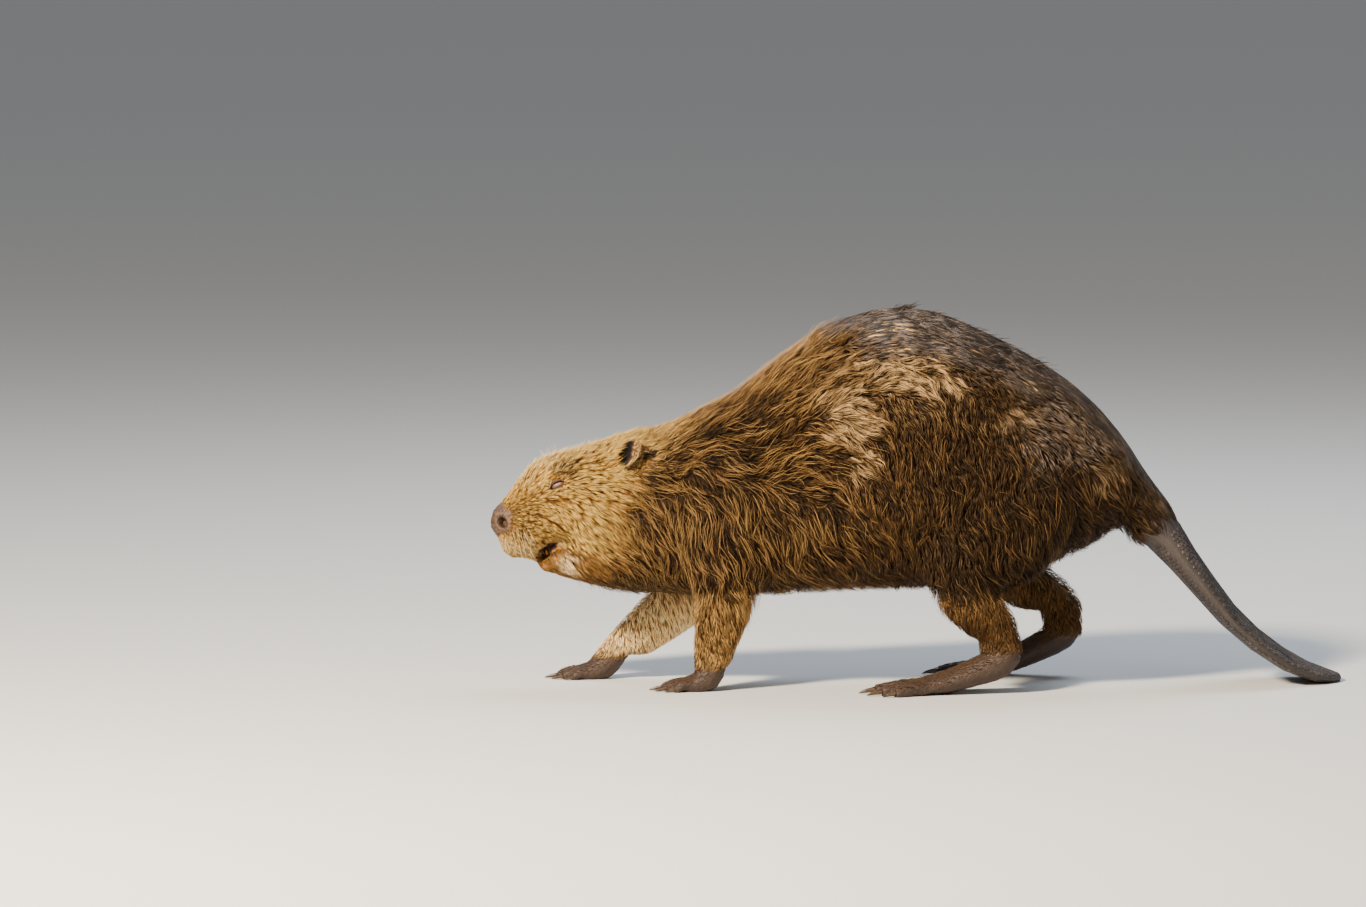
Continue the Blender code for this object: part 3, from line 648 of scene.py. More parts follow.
def unwrap(p):
    """Where a place on the skin lies in the bake map: a roll-out of the body and one of each leg."""
    x, y, z, side = body(p)
    places = [0, 60, 150, 300, 450, 620, 720]
    middle = back_line(x) - np.interp(x, places, [18, 50, 85, 130, 150, 95, 40])
    angle = np.arctan2(p[:, 1] / MM, z - middle) / (2 * math.pi) + 0.5
    legs = (z < 92) & (y > 24) & (x < 700)
    fore = x < 320
    u0 = np.where(fore, 0.0, 0.5) + np.where(side < 0, 0.0, 0.25)
    turn = np.arctan2(y - 75, x - np.where(fore, 190, 540)) / (2 * math.pi) + 0.5
    u = np.where(legs, u0 + 0.01 + 0.22 * turn, 0.01 + 0.97 * np.clip(x / 960, 0, 1))
    v = np.where(legs, 0.74 + 0.24 * np.clip(z / 92, 0, 1), 0.01 + 0.7 * angle)
    return np.stack([u, v], 1)


def copies(faces, count, corners, base=0):
    """The faces of one small part, repeated for that many parts of so many corners each."""
    return (faces[None] + (np.arange(count) * corners)[:, None, None] + base).reshape(-1, 3)


def triangle_mesh(name, vertices, faces):
    mesh = bpy.data.meshes.new(name)
    mesh.vertices.add(len(vertices))
    mesh.vertices.foreach_set("co", vertices.astype(np.float32).ravel())
    mesh.loops.add(faces.size)
    mesh.loops.foreach_set("vertex_index", faces.astype(np.int32).ravel())
    mesh.polygons.add(len(faces))
    mesh.polygons.foreach_set("loop_start", np.arange(len(faces), dtype=np.int32) * 3)
    mesh.update(calc_edges=True)
    return mesh


def map_uv(mesh, uv):
    loops = np.empty(len(mesh.loops), np.int32)
    mesh.loops.foreach_get("vertex_index", loops)
    layer = mesh.uv_layers.new(name="OFBake")
    layer.data.foreach_set("uv", uv[loops].astype(np.float32).ravel())


def neighbour_sum(mesh):
    """A function that sums one value of each vertex over the vertices joined to it."""
    edges = np.empty(len(mesh.edges) * 2, np.int64)
    mesh.edges.foreach_get("vertices", edges)
    a, b = edges[::2], edges[1::2]
    count = len(mesh.vertices)
    return lambda values: np.bincount(a, values[b], count) + np.bincount(b, values[a], count)


def smoothed(mesh, co, weights, rounds):
    """Taubin smoothing, by a weight at each vertex: a step in and a step out, which keeps the volume."""
    total = neighbour_sum(mesh)
    degree = np.maximum(total(np.ones(len(co))), 1)
    for step in (0.62, -0.6) * rounds:
        mean = np.stack([total(co[:, k]) for k in range(3)], 1) / degree[:, None]
        co = co + (mean - co) * (weights * step)[:, None]
    return co


def calm(mesh, normals, rounds):
    """Normals evened out over their neighbours, so that an offset along them doesn't fold."""
    total = neighbour_sum(mesh)
    for _ in range(rounds):
        normals = unit(normals + np.stack([total(normals[:, k]) for k in range(3)], 1))
    return normals


# ---------------- materials


def material(name, roughness, specular=0.5):
    mat = bpy.data.materials.new(name)
    mat.use_nodes = True
    shader = mat.node_tree.nodes["Principled BSDF"]
    shader.inputs["Roughness"].default_value = roughness
    shader.inputs["Specular IOR Level"].default_value = specular
    return mat, mat.node_tree, shader


def texture(tree, kind, scale):
    where = tree.nodes.new("ShaderNodeTexCoord")
    node = tree.nodes.new(kind)
    node.inputs["Scale"].default_value = scale
    tree.links.new(where.outputs["Object"], node.inputs["Vector"])
    return node


def noise(tree, scale, detail):
    node = texture(tree, "ShaderNodeTexNoise", scale)
    node.inputs["Detail"].default_value = detail
    node.inputs["Roughness"].default_value = 0.6
    return node.outputs["Fac"]


def tinted(tree, colour, factor, low, high):
    """A colour made darker and lighter by a factor between low and high."""
    span = tree.nodes.new("ShaderNodeMapRange")
    for name, value in (("From Min", 0.3), ("From Max", 0.7), ("To Min", low), ("To Max", high)):
        span.inputs[name].default_value = value
    times = tree.nodes.new("ShaderNodeVectorMath")
    times.operation = "SCALE"
    tree.links.new(factor, span.inputs["Value"])
    tree.links.new(colour, times.inputs[0])
    tree.links.new(span.outputs["Result"], times.inputs["Scale"])
    return times.outputs["Vector"]


def painted_material(name, roughness, specular, mottle=None):
    """A material with the painted colour and gloss, darkened and lightened by fine noise on request."""
    mat, tree, shader = material(name, roughness, specular)
    hue, gloss = tree.nodes.new("ShaderNodeAttribute"), tree.nodes.new("ShaderNodeAttribute")
    hue.attribute_name, gloss.attribute_name = "hue", "gloss"
    colour = hue.outputs["Color"]
    if mottle:
        colour = tinted(tree, colour, noise(tree, 900, 4), *mottle)
    tree.links.new(colour, shader.inputs["Base Color"])
    tree.links.new(gloss.outputs["Fac"], shader.inputs["Roughness"])
    return mat, tree, shader


def skin_material():
    mat, tree, shader = painted_material("skin", 0.6, 0.28, (0.75, 1.2))
    grain = texture(tree, "ShaderNodeTexVoronoi", 700)
    bump = tree.nodes.new("ShaderNodeBump")
    bump.inputs["Strength"].default_value = 0.5
    bump.inputs["Distance"].default_value = 0.8 * MM
    tree.links.new(grain.outputs["Distance"], bump.inputs["Height"])
    tree.links.new(bump.outputs["Normal"], shader.inputs["Normal"])
    return mat


def coat_material():
    return painted_material("coat", 0.5, 0.16)[0]


def clouded(name, roughness, scale, detail, dark, light, low=0.0, high=1.0, specular=0.5):
    """A material whose colour drifts between a dark and a light one."""
    mat, tree, shader = material(name, roughness, specular)
    tones = tree.nodes.new("ShaderNodeValToRGB")
    for stop, place, colour in zip(tones.color_ramp.elements, (low, high), (dark, light)):
        stop.position = place
        stop.color = (*colour, 1)
    tree.links.new(noise(tree, scale, detail), tones.inputs["Fac"])
    tree.links.new(tones.outputs["Color"], shader.inputs["Base Color"])
    return mat, shader


def eye_material():
    mat, shader = clouded("eyeball", 0.04, 260, 4, EYE_DARK, EYE_BROWN, specular=0.6)
    shader.inputs["Coat Weight"].default_value = 1.0
    shader.inputs["Coat Roughness"].default_value = 0.02
    return mat


# ---------------- skin


def closed_flesh():
    """The solids of flesh as one mesh, swollen a little so that the cuts between them close."""
    bm = bmesh.new()
    for name in FLESH + ["eye_left", "eye_right"]:
        part = bmesh.new()
        part.from_mesh(NODES[name].data)
        bmesh.ops.remove_doubles(part, verts=part.verts, dist=1e-6)
        bmesh.ops.recalc_face_normals(part, faces=part.faces)
        part.normal_update()
        for vertex in part.verts:
            vertex.co += vertex.normal * SWELL * MM
        mesh = bpy.data.meshes.new("part")
        part.to_mesh(mesh)
        part.free()
        bm.from_mesh(mesh)
        bpy.data.meshes.remove(mesh)
    # a plug behind the lips
    place = Matrix.Translation(at(70, 0, 150)) @ Matrix.Diagonal((10 * MM, 24 * MM, 8.5 * MM, 1))
    bmesh.ops.create_icosphere(bm, subdivisions=3, radius=1, matrix=place)
    obj = object_from(bm, "skin")
    melt = obj.modifiers.new("melt", "REMESH")
    melt.mode = "VOXEL"
    melt.voxel_size = VOXEL * MM
    settle(obj)
    return obj


def thin_out(obj, co):
    """Takes triangles away, most of all from the body behind the head and above the feet."""
    easy = ramp(body(co)[0], 190, 260) * (1 - foot_mask(co))
    spare = obj.vertex_groups.new(name="spare")
    levels = 5
    for level in range(1, levels + 1):
        chosen = np.flatnonzero((easy > (level - 1) / levels) & (easy <= level / levels))
        spare.add([int(i) for i in chosen], level / levels, "REPLACE")
    thin = obj.modifiers.new("thin", "DECIMATE")
    thin.ratio = SKIN_KEPT
    thin.vertex_group = "spare"
    thin.vertex_group_factor = 0.00002
    settle(obj)


def refine(mesh, chosen):
    """Splits the edges of the chosen faces in two."""
    bm = bmesh.new()
    bm.from_mesh(mesh)
    bm.faces.ensure_lookup_table()
    centres = np.array([f.calc_center_median() for f in bm.faces])
    edges = {e for i in np.flatnonzero(chosen(centres)) for e in bm.faces[i].edges}
    bmesh.ops.subdivide_edges(bm, edges=list(edges), cuts=1, use_grid_fill=True, smooth=0.0)
    bmesh.ops.triangulate(bm, faces=[f for f in bm.faces if len(f.verts) > 4])
    bm.to_mesh(mesh)
    bm.free()
    mesh.update()


def by_eye_or_nostril(p):
    x, y, z, _ = body(p)
    by_nostril = (np.hypot(x - NOSTRIL[0], z - NOSTRIL[2]) < 11) & (y > 8)
    return (distance(p, EYE) < 15) | by_nostril


def by_feature(p):
    return by_eye_or_nostril(p) | (distance(p, EAR) < 24) | (pad_mask(p) > 0.1)


def shape_eyes(co):
    """Lids: the skin wraps the eyeball, and drops behind it inside a narrow slit."""
    side = body(co)[3]
    a, b, c = eye_place(co)
    r = np.hypot(a, b)
    shell = EYE_R + 0.8
    lid = np.sqrt(np.maximum(shell**2 - np.minimum(r, shell) ** 2, 0))
    middle = slit_line(a)
    half = 1.15 * np.clip(1 - ((a - 0.6) / 6.2) ** 2, 0, 1) ** 0.6
    above, under = b - middle - half, middle - half - b
    swell = 0.75 * bell(above, 0.7, 0.8) + 0.9 * bell(under, 1.4, 1.5)
    swell *= np.clip(1 - (a / 8.5) ** 2, 0, 1)
    crease = 0.8 * bell(above, 3.2, 0.8) * bell(a, 0, 7)
    # the lids melt into the face round them
    lid = np.where(r < 12, lid, c)
    target = mix(c, np.maximum(c * 0.35 + lid * 0.65, lid), fade(r, 5.5, 12))
    target = target + (swell - crease) * fade(r, 6, 10) - 2.2 * bell(a, -9.0, 2.4) * bell(b, -2.3, 1.3)
    deep = np.sqrt(np.maximum(EYE_R**2 - r**2, 0)) - 1.8
    opened = (np.abs(a - 0.6) < 6.2) & (b < middle + half) & (b > middle - half)
    near = (np.hypot(r, c) < 18) & (c > -6) & (r < 12)
    move = np.where(near, np.where(opened, deep, target) - c, 0)
    return co + move[:, None] * sided(unit(np.array(EYE_OUT)), side) * MM


def shape_nose(co, n):
    """Nostrils, the groove between them and the cleft of the upper lip."""
    x, y, z, _ = body(co)
    hole = nostril_distance(co)
    co = co + n * (1.1 * bell(hole, 1.35, 0.3) - 8.0 * fade(hole, 0.3, 1.05))[:, None] * MM
    co = co - np.array((1.2 * MM, 0, 0)) * spot(x, z, (0, 184), (22, 26), 0.3, 1.0)[:, None]
    cleft = bell(y, 0, 1.4) * fade(x, 30, 44) * fade(z, 178, 196)
    fold = bell(x + 0.15 * (z - 180), 23, 1.6) * (z > 165) * (z < 205)
    return co - n * (1.6 * cleft + 0.8 * fold)[:, None] * MM


def skin_piece():
    obj = closed_flesh()
    mesh = obj.data
    co = arrays(mesh)
    x, _, z, _ = body(co)
    # smooth the body most, and the face, the ears and the feet least
    care = np.maximum.reduce([ramp(x, 90, 240), 0.35 * ramp(x, 50, 90), 0.25 + 0 * x])
    weights = mix(care, 0.22, np.maximum(foot_mask(co), fade(distance(co, EAR), 20, 30)))
    weights = np.where((x > 690) & (z < 150), 0.6, weights)
    co = smoothed(mesh, co, weights, 26)
    put(mesh, co)
    # sink it by the depth of the coat
    n = vertex_normals(mesh)
    depth = coat_depth(co)
    thick = ramp(depth, 3, 7)
    n = unit(mix(n, calm(mesh, n, 60), thick))
    put(mesh, co - n * depth[:, None] * MM)
    co = smoothed(mesh, arrays(mesh), thick, 10)
    put(mesh, co)
    thin_out(obj, co)
    mesh = obj.data
    refine(mesh, by_feature)
    refine(mesh, by_eye_or_nostril)
    co = shape_eyes(shape_nose(arrays(mesh), vertex_normals(mesh)))
    put(mesh, co)
    wrinkle = (0.25 * waves(co, 4.2, 41) + 0.2 * waves(co, 2.2, 42)) * np.maximum(foot_mask(co), pad_mask(co))
    put(mesh, co + vertex_normals(mesh) * wrinkle[:, None] * MM)
    co, n = arrays(mesh), vertex_normals(mesh)
    gloss = layered(
        np.full(len(co), 0.95),
        (0.42, wet_mask(co)),
        (0.9, ear_shaded_front(co, n)),
        (0.5, pad_mask(co)),
        (0.55, np.maximum(tail_mask(co), foot_mask(co))),
        (0.24, lid_mask(co)),
    )
    paint(mesh, ground_colour(co, n), gloss)
    mesh.shade_smooth()
    dress(obj, skin_material(), "body_fur", *FLESH)
    return obj


# ---------------- coat


class Surface:
    """The skin as triangles to sow on and to follow."""

    def __init__(self, obj):
        mesh = obj.data
        mesh.calc_loop_triangles()
        self.co = arrays(mesh)
        self.normals = vertex_normals(mesh)
        tris = np.empty(len(mesh.loop_triangles) * 3, np.int32)
        mesh.loop_triangles.foreach_get("vertices", tris)
        self.tris = tris.reshape(-1, 3)
        a, b, c = (self.co[self.tris[:, k]] for k in range(3))
        self.areas = np.linalg.norm(np.cross(b - a, c - a), axis=1) / 2
        self.centres = (a + b + c) / 3
        self.centre_normals = unit(sum(self.normals[self.tris[:, k]] for k in range(3)))
        self.tree = BVHTree.FromPolygons(self.co.tolist(), self.tris.tolist())

    def sow(self, weight, count):
        """So many points, spread by a weight at each triangle, with their normals."""
        share = self.areas * np.maximum(weight, 0)
        total = np.cumsum(share)
        picks = (np.arange(count) + rng.random(count)) / count * total[-1]
        index = np.minimum(np.searchsorted(total, picks), len(share) - 1)
        u, v = rng.random(count), rng.random(count)
        flip = u + v > 1
        u, v = np.where(flip, 1 - u, u), np.where(flip, 1 - v, v)
        corners = self.tris[index].T
        shares = np.stack([1 - u - v, u, v])[:, :, None]
        return np.sum(self.co[corners] * shares, 0), unit(np.sum(self.normals[corners] * shares, 0))

    def nearest(self, points):
        """The nearest place on the skin to each point, and the skin's soft normal there."""
        found = np.empty_like(points)
        index = np.empty(len(points), np.int64)
        for i, point in enumerate(points.tolist()):
            found[i], _, index[i], _ = self.tree.find_nearest(point)
        return found, self.centre_normals[index]

    def paths(self, p, n, length, steps, sway):
        """Lines that start at p and follow the lie of the coat over the skin."""
        line, normals = [p], [n]
        here, up = p, n
        for k in range(steps):
            ahead = flow(here, up)
            turn = sway * (0.4 + 0.6 * math.cos(2.2 * k + 0.5))
            ahead = unit(ahead + np.cross(up, ahead) * turn[:, None])
            here, up = self.nearest(here + ahead * (length * MM / steps)[:, None])
            line.append(here)
            normals.append(up)
        return np.stack(line), np.stack(normals)


class Coat:
    """Gathers tufts, and turns them into a few pieces that each span the whole body."""

    def __init__(self):
        self.groups = []

    def add(self, line, normals, width, height, colours, gloss, fat=0.34, blunt=0.25):
        """Tufts along lines: rings of three corners that narrow to a point, raised off the skin."""
        steps = len(line) - 1
        share = np.linspace(0, 1, steps + 1)
        centre = line + normals * height[:, :, None] * MM
        across = unit(np.cross(centre[1:] - centre[:-1], normals[:-1]))
        roots, tips = colours
        rows, tones = [], []
        for k in range(steps):
            wide = width * (1 - share[k] ** 1.7 * (1 - blunt)) * (0.7 if k == 0 else 1.0)
            half = (across[k] * wide[:, None]) * MM / 2
            ridge = normals[k] * (wide * fat)[:, None] * MM
            rows += [centre[k] - half, centre[k] + half, centre[k] + ridge]
            tone = mix(roots, tips, share[k] ** 0.8)
            # the ridge along the top of each tuft is painted 6% lighter: a painted highlight
            tones += [tone, tone, tone * 1.06]
        rows.append(centre[-1])
        tones.append(tips)
        ring = [(i, (i + 1) % 3) for i in range(3)]
        faces = []
        for a in range(0, 3 * steps - 3, 3):
            for i, j in ring:
                faces += [(a + i, a + j, a + 3 + j), (a + i, a + 3 + j, a + 3 + i)]
        last = 3 * (steps - 1)
        faces += [(last + i, last + j, last + 3) for i, j in ring] + [(2, 1, 0)]
        # each tuft has a patch of the bake map of its own, 1.5 by 3 thousandths of it
        patch = np.array([(0.0015 * (r % 3), 0.003 * (r // 3) / steps) for r in range(len(rows))])
        patch[-1] = (0.0015, 0.003)
        uv = unwrap(line[0])[:, None] + patch
        self.groups.append((np.stack(rows, 1), np.stack(tones, 1), np.array(faces), uv, gloss))

    def pieces(self, count):
        """The tufts shared out at random over that many objects."""
        mat = coat_material()
        turns = [rng.integers(0, count, len(group[0])) for group in self.groups]
        for number in range(count):
            mine, base = [], 0
            for (vertices, colours, faces, uv, gloss), turn in zip(self.groups, turns):
                chosen = turn == number
                tufts, corners = np.count_nonzero(chosen), vertices.shape[1]
                rows = [vertices[chosen].reshape(-1, 3), copies(faces, tufts, corners, base)]
                rows += [colours[chosen].reshape(-1, 3), np.repeat(gloss[chosen], corners)]
                mine.append(rows + [uv[chosen].reshape(-1, 2)])
                base += tufts * corners
            vertices, faces, colours, gloss, uv = (np.concatenate(rows) for rows in zip(*mine))
            name = f"coat_{number + 1}"
            mesh = triangle_mesh(name, vertices, faces)
            paint(mesh, colours, gloss)
            map_uv(mesh, uv)
            mesh.shade_smooth()
            dress(add_object(name, mesh), mat, "body_fur")


def clump(line, spacing, pull, start=0.25):
    """Draws the lines together towards their nearest leader, more so near the tips, as wet hair does.

    Also gives each line's leader, and how near the line stands to it: 1 for the leader, 0 for the outermost.
    """
    count = line.shape[1]
    leaders = rng.permutation(count)[: max(1, int(count / spacing))]
    tree = KDTree(len(leaders))
    for i, leader in enumerate(leaders):
        tree.insert(line[0, leader].tolist(), i)
    tree.balance()
    found = [tree.find(point) for point in line[0].tolist()]
    chief = leaders[[f[1] for f in found]]
    away = np.array([f[2] for f in found])
    order = np.lexsort((away, chief))
    sorted_chief = chief[order]
    first = np.r_[True, sorted_chief[1:] != sorted_chief[:-1]]
    group = np.cumsum(first) - 1
    starts = np.flatnonzero(first)
    sizes = np.diff(np.r_[starts, count])
    core = np.empty(count)
    core[order] = 1 - (np.arange(count) - starts[group]) / np.maximum(sizes[group] - 1, 1)
    drawn = pull * ramp(np.linspace(0, 1, len(line)), start, 1.0)
    return line + (line[:, chief] - line) * drawn[:, None, None], chief, core


def eased(free, line, share):
    """Lines brought back from where they were drawn to, so that only a share of the pull is left."""
    return free + (line - free) * share[None, :, None]


def raised(lift, root, *shares):
    """Heights along each line: the root under the skin, then shares of the lift."""
    return np.stack([root + 0 * lift] + [share * lift for share in shares])


def head_coat(coat, surface):
    c, n = surface.centres, surface.centre_normals
    x, _, z, _ = body(c)
    a, b, _ = eye_place(c)
    fine = np.interp(x, [0, 30, 60, 110, 200], [3.2, 2.5, 1.6, 1.0, 0.8])
    weight = ramp(head_mask(c), 0.02, 0.85) * (1 - bare_mask(c, n)) * fine * (1 - foot_mask(c)) * (x < 230)
    weight *= ~((z < 96) & (x > 60))
    weight *= 1 + 1.6 * spot(a, b, (0, 0), (1.3, 1), 12, 20) * (n[:, 1] * c[:, 1] > 0)
    weight *= 1 + 1.8 * fade(distance(c, EAR), 26, 36)
    p, m = surface.sow(weight, HEAD_HAIRS)
    x, _, z, _ = body(p)
    a, b, _ = eye_place(p)
    count, hollow = len(p), ear_hollow(p, m)
    length = layered(
        np.interp(x, [0, 20, 45, 80, 120, 190], [4.2, 6, 10, 18, 23, 24]) * rng.uniform(0.7, 1.25, count),
        (6.0, spot(a, b, (0, 0), (1.3, 1), 7, 18)),
        (3.4, fade(distance(p, EAR), 18, 24)),
        (2.2, hollow),
        (24.0, ramp(x, 88, 110) * fade(z, 114, 128)),
    )
    sway = rng.normal(0, 0.08, count) + 0.3 * waves(p, 11, 51) * ramp(x, 20, 60)
    free, normals = surface.paths(p, m, length, 2, sway)
    line, chief, core = clump(free, 10, 0.9, 0.1)
    line = eased(free, line, np.interp(x, [0, 55, 100], [0.45, 0.7, 1.0]))
    lift = (0.15 + 0.85 * core) * rng.uniform(0.6, 1.3, count)[chief] + rng.uniform(0, 0.15, count)
    crest = ramp(m[:, 2], 0.3, 0.8) * ramp(x, 20, 40) * fade(x, 150, 200)
    lift = lift * (np.maximum(coat_depth(p), 1.2) + crest * rng.uniform(0, 3.5, count))
    lift = mix(lift, 0.5 * rng.random(count), hollow)
    height = raised(lift, -0.3, 0.7, 1.0)
    height[-1] += 0.4
    width = np.interp(x, [0, 30, 80, 150], [0.48, 0.62, 0.78, 0.92]) * rng.uniform(0.75, 1.25, count)
    # the lot leans on core, so hairs at the edge of a clump get darker tips and those at its middle lighter:
    # painted shade and light on each clump
    lot = 0.55 * core + 0.15 * rng.random(count) + 0.3 * rng.random(count)[chief]
    colours = hair_colours(p, m, "head", lot)
    coat.add(line, normals, width, height, colours, np.full(count, 0.5), blunt=0.3)


def under_coat(coat, surface, weight):
    """Crimped locks that close the coat, long, straight and flat where it is wet."""
    p, m = surface.sow(weight, UNDER_LOCKS)
    x, wet, count = body(p)[0], wet_mask(p), len(p)
    length = rng.uniform(13, 21, count) * np.interp(x, [120, 200, 300], [0.8, 0.9, 1.0]) * mix(1.0, 2.1, wet)
    sway = (rng.normal(0, 0.28, count) + 0.42 * waves(p, 13, 61)) * mix(1.0, 0.05, wet)
    free, normals = surface.paths(p, m, length, 2, sway)
    line, chief, core = clump(free, 4.5, 0.6)
    line = eased(free, line, mix(1.0, 0.25, wet))
    lift = 0.4 + 0.3 * core + rng.uniform(0, 0.2, count) + rng.uniform(-0.1, 0.1, count)[chief]
    belly = 6 * ramp(-m[:, 2], 0.2, 0.7) * rng.random(count)
    lift = coat_depth(p) * mix(lift, 0.42 + 0.1 * lift, wet) + belly
    width = mix(rng.uniform(0.8, 1.6, count), rng.uniform(2.4, 4.2, count), wet)
    # the lot leans on core, so hairs at the edge of a clump get darker tips and those at its middle lighter:
    # painted shade and light on each clump
    lot = 0.45 * core + 0.25 * rng.random(count) + 0.3 * rng.random(count)[chief]
    colours = hair_colours(p, m, "under", lot)
    height = raised(lift, -0.5, 0.7, 0.95)
    coat.add(line, normals, width, height, colours, mix(0.5, 0.28, wet), fat=mix(0.3, 0.06, wet))


def pale_coat(coat, surface, weight):
    """Pale matted locks with dark roots, and painted shade at the edges of each clump that makes dark cracks
    between them.
    """
    p, m = surface.sow(weight, PALE_LOCKS)
    count = len(p)
    length = rng.uniform(16, 27, count)
    sway = rng.normal(0, 0.15, count) + 0.7 * waves(p, 15, 64)
    line, normals = surface.paths(p, m, length, 3, sway)
    line, chief, core = clump(line, 9, 0.62, 0.0)
    lift = coat_depth(p) * (0.45 + 0.45 * core + rng.uniform(-0.1, 0.1, count)[chief])
    # the lot leans on core, so hairs at the edge of a clump get darker tips and those at its middle lighter:
    # painted shade and light on each clump
    lot = 0.7 * core + 0.1 * rng.random(count) + 0.25 * rng.random(count)[chief]
    colours = hair_colours(p, m, "pale", lot)
    height, width = raised(lift, -0.5, 0.7, 0.95, 0.95), rng.uniform(0.5, 0.95, count)
    coat.add(line, normals, width, height, colours, np.full(count, 0.42), fat=0.3)


def guard_share(p):
    """How thick the guard hairs stand: thickest behind the cheek, thinnest over the back and rump."""
    x = body(p)[0]
    share = np.interp(x, [110, 160, 260, 350, 430, 600, 720], [2.0, 1.8, 1.1, 0.6, 0.17, 0.14, 0.2])
    drifts = np.clip(1 + 0.6 * waves(p, 30, 63) * ramp(x, 150, 240), 0.1, 2.2)
    return share * (1 - 0.85 * pale_mask(p)) * drifts


def guard_coat(coat, surface, weight):
    """Long thin hairs, drawn together in points."""
    p, m = surface.sow(weight, GUARD_HAIRS)
    x, wet, count = body(p)[0], wet_mask(p), len(p)
    length = rng.uniform(22, 42, count) * np.interp(x, [120, 200, 300], [0.7, 0.95, 1.0]) * mix(1.0, 0.8, wet)
    sway = rng.normal(0, 0.24, count) * mix(1.0, 0.3, wet) + 0.4 * waves(p, 24, 62) * mix(1.0, 0.2, wet)
    line, normals = surface.paths(p, m, length, 3, sway)
    line, chief, _ = clump(line, 2.6, 0.85)
    lift = coat_depth(p) * (rng.uniform(0.9, 1.15, count) * 0.4 + rng.uniform(0.85, 1.2, count)[chief] * 0.6)
    lift *= mix(1.0, 0.65, wet)
    width = rng.uniform(0.26, 0.44, count)
    lot = mix(rng.random(count), rng.random(count)[chief], 0.6)
    colours = hair_colours(p, m, "guard", lot)
    height = raised(lift, -0.5, 0.75, 1.0, 1.08)
    coat.add(line, normals, width, height, colours, mix(0.42, 0.32, wet), blunt=0.45)


def body_coat(coat, surface):
    c, n = surface.centres, surface.centre_normals
    head, wet, pale = ramp(head_mask(c), 0.2, 0.9), wet_mask(c), pale_mask(c)
    furry = (1 - bare_mask(c, n)) * (1 - foot_mask(c)) * (1 - leg_mask(c))
    trunk = furry * (1 - head)
    brink = furry * head * ramp(body(c)[0], 104, 140)
    under_coat(coat, surface, trunk * mix(1.0, 0.7, wet) * (1 - 0.6 * pale))
    pale_coat(coat, surface, trunk * ramp(pale, 0.05, 0.6))
    guard_coat(coat, surface, (trunk + 0.7 * brink) * mix(1.0, 0.02, ramp(wet, 0.0, 0.3)) * guard_share(c))


def limb_coat(coat, surface):
    c, n = surface.centres, surface.centre_normals
    feet = foot_mask(c)
    instep = feet * ramp(n[:, 2], -0.2, 0.4) * np.interp(body(c)[2], [8, 40], [0.7, 1.3])
    p, m = surface.sow(np.maximum(leg_mask(c) * (1 - feet), instep) * (1 - bare_mask(c, n)), LIMB_HAIRS)
    z, foot, count = body(p)[2], foot_mask(p), len(p)
    length = mix(np.interp(z, [30, 110], [9, 20]), 4.5, foot) * rng.uniform(0.75, 1.25, count)
    free, normals = surface.paths(p, m, length, 2, rng.normal(0, 0.2, count) + 0.25 * waves(p, 12, 71))
    line, chief, _ = clump(free, 5, 0.7)
    line = eased(free, line, 1 - foot)
    height = raised(np.maximum(coat_depth(p), 0.8) * rng.uniform(0.6, 1.1, count), -0.3, 0.7, 1.0)
    width = mix(rng.uniform(1.0, 1.7, count), 0.8, foot)
    lot = mix(rng.random(count), rng.random(count)[chief], 0.6)
    colours = hair_colours(p, m, "guard", lot)
    coat.add(line, normals, width, height, colours, np.full(count, 0.5), blunt=0.4)


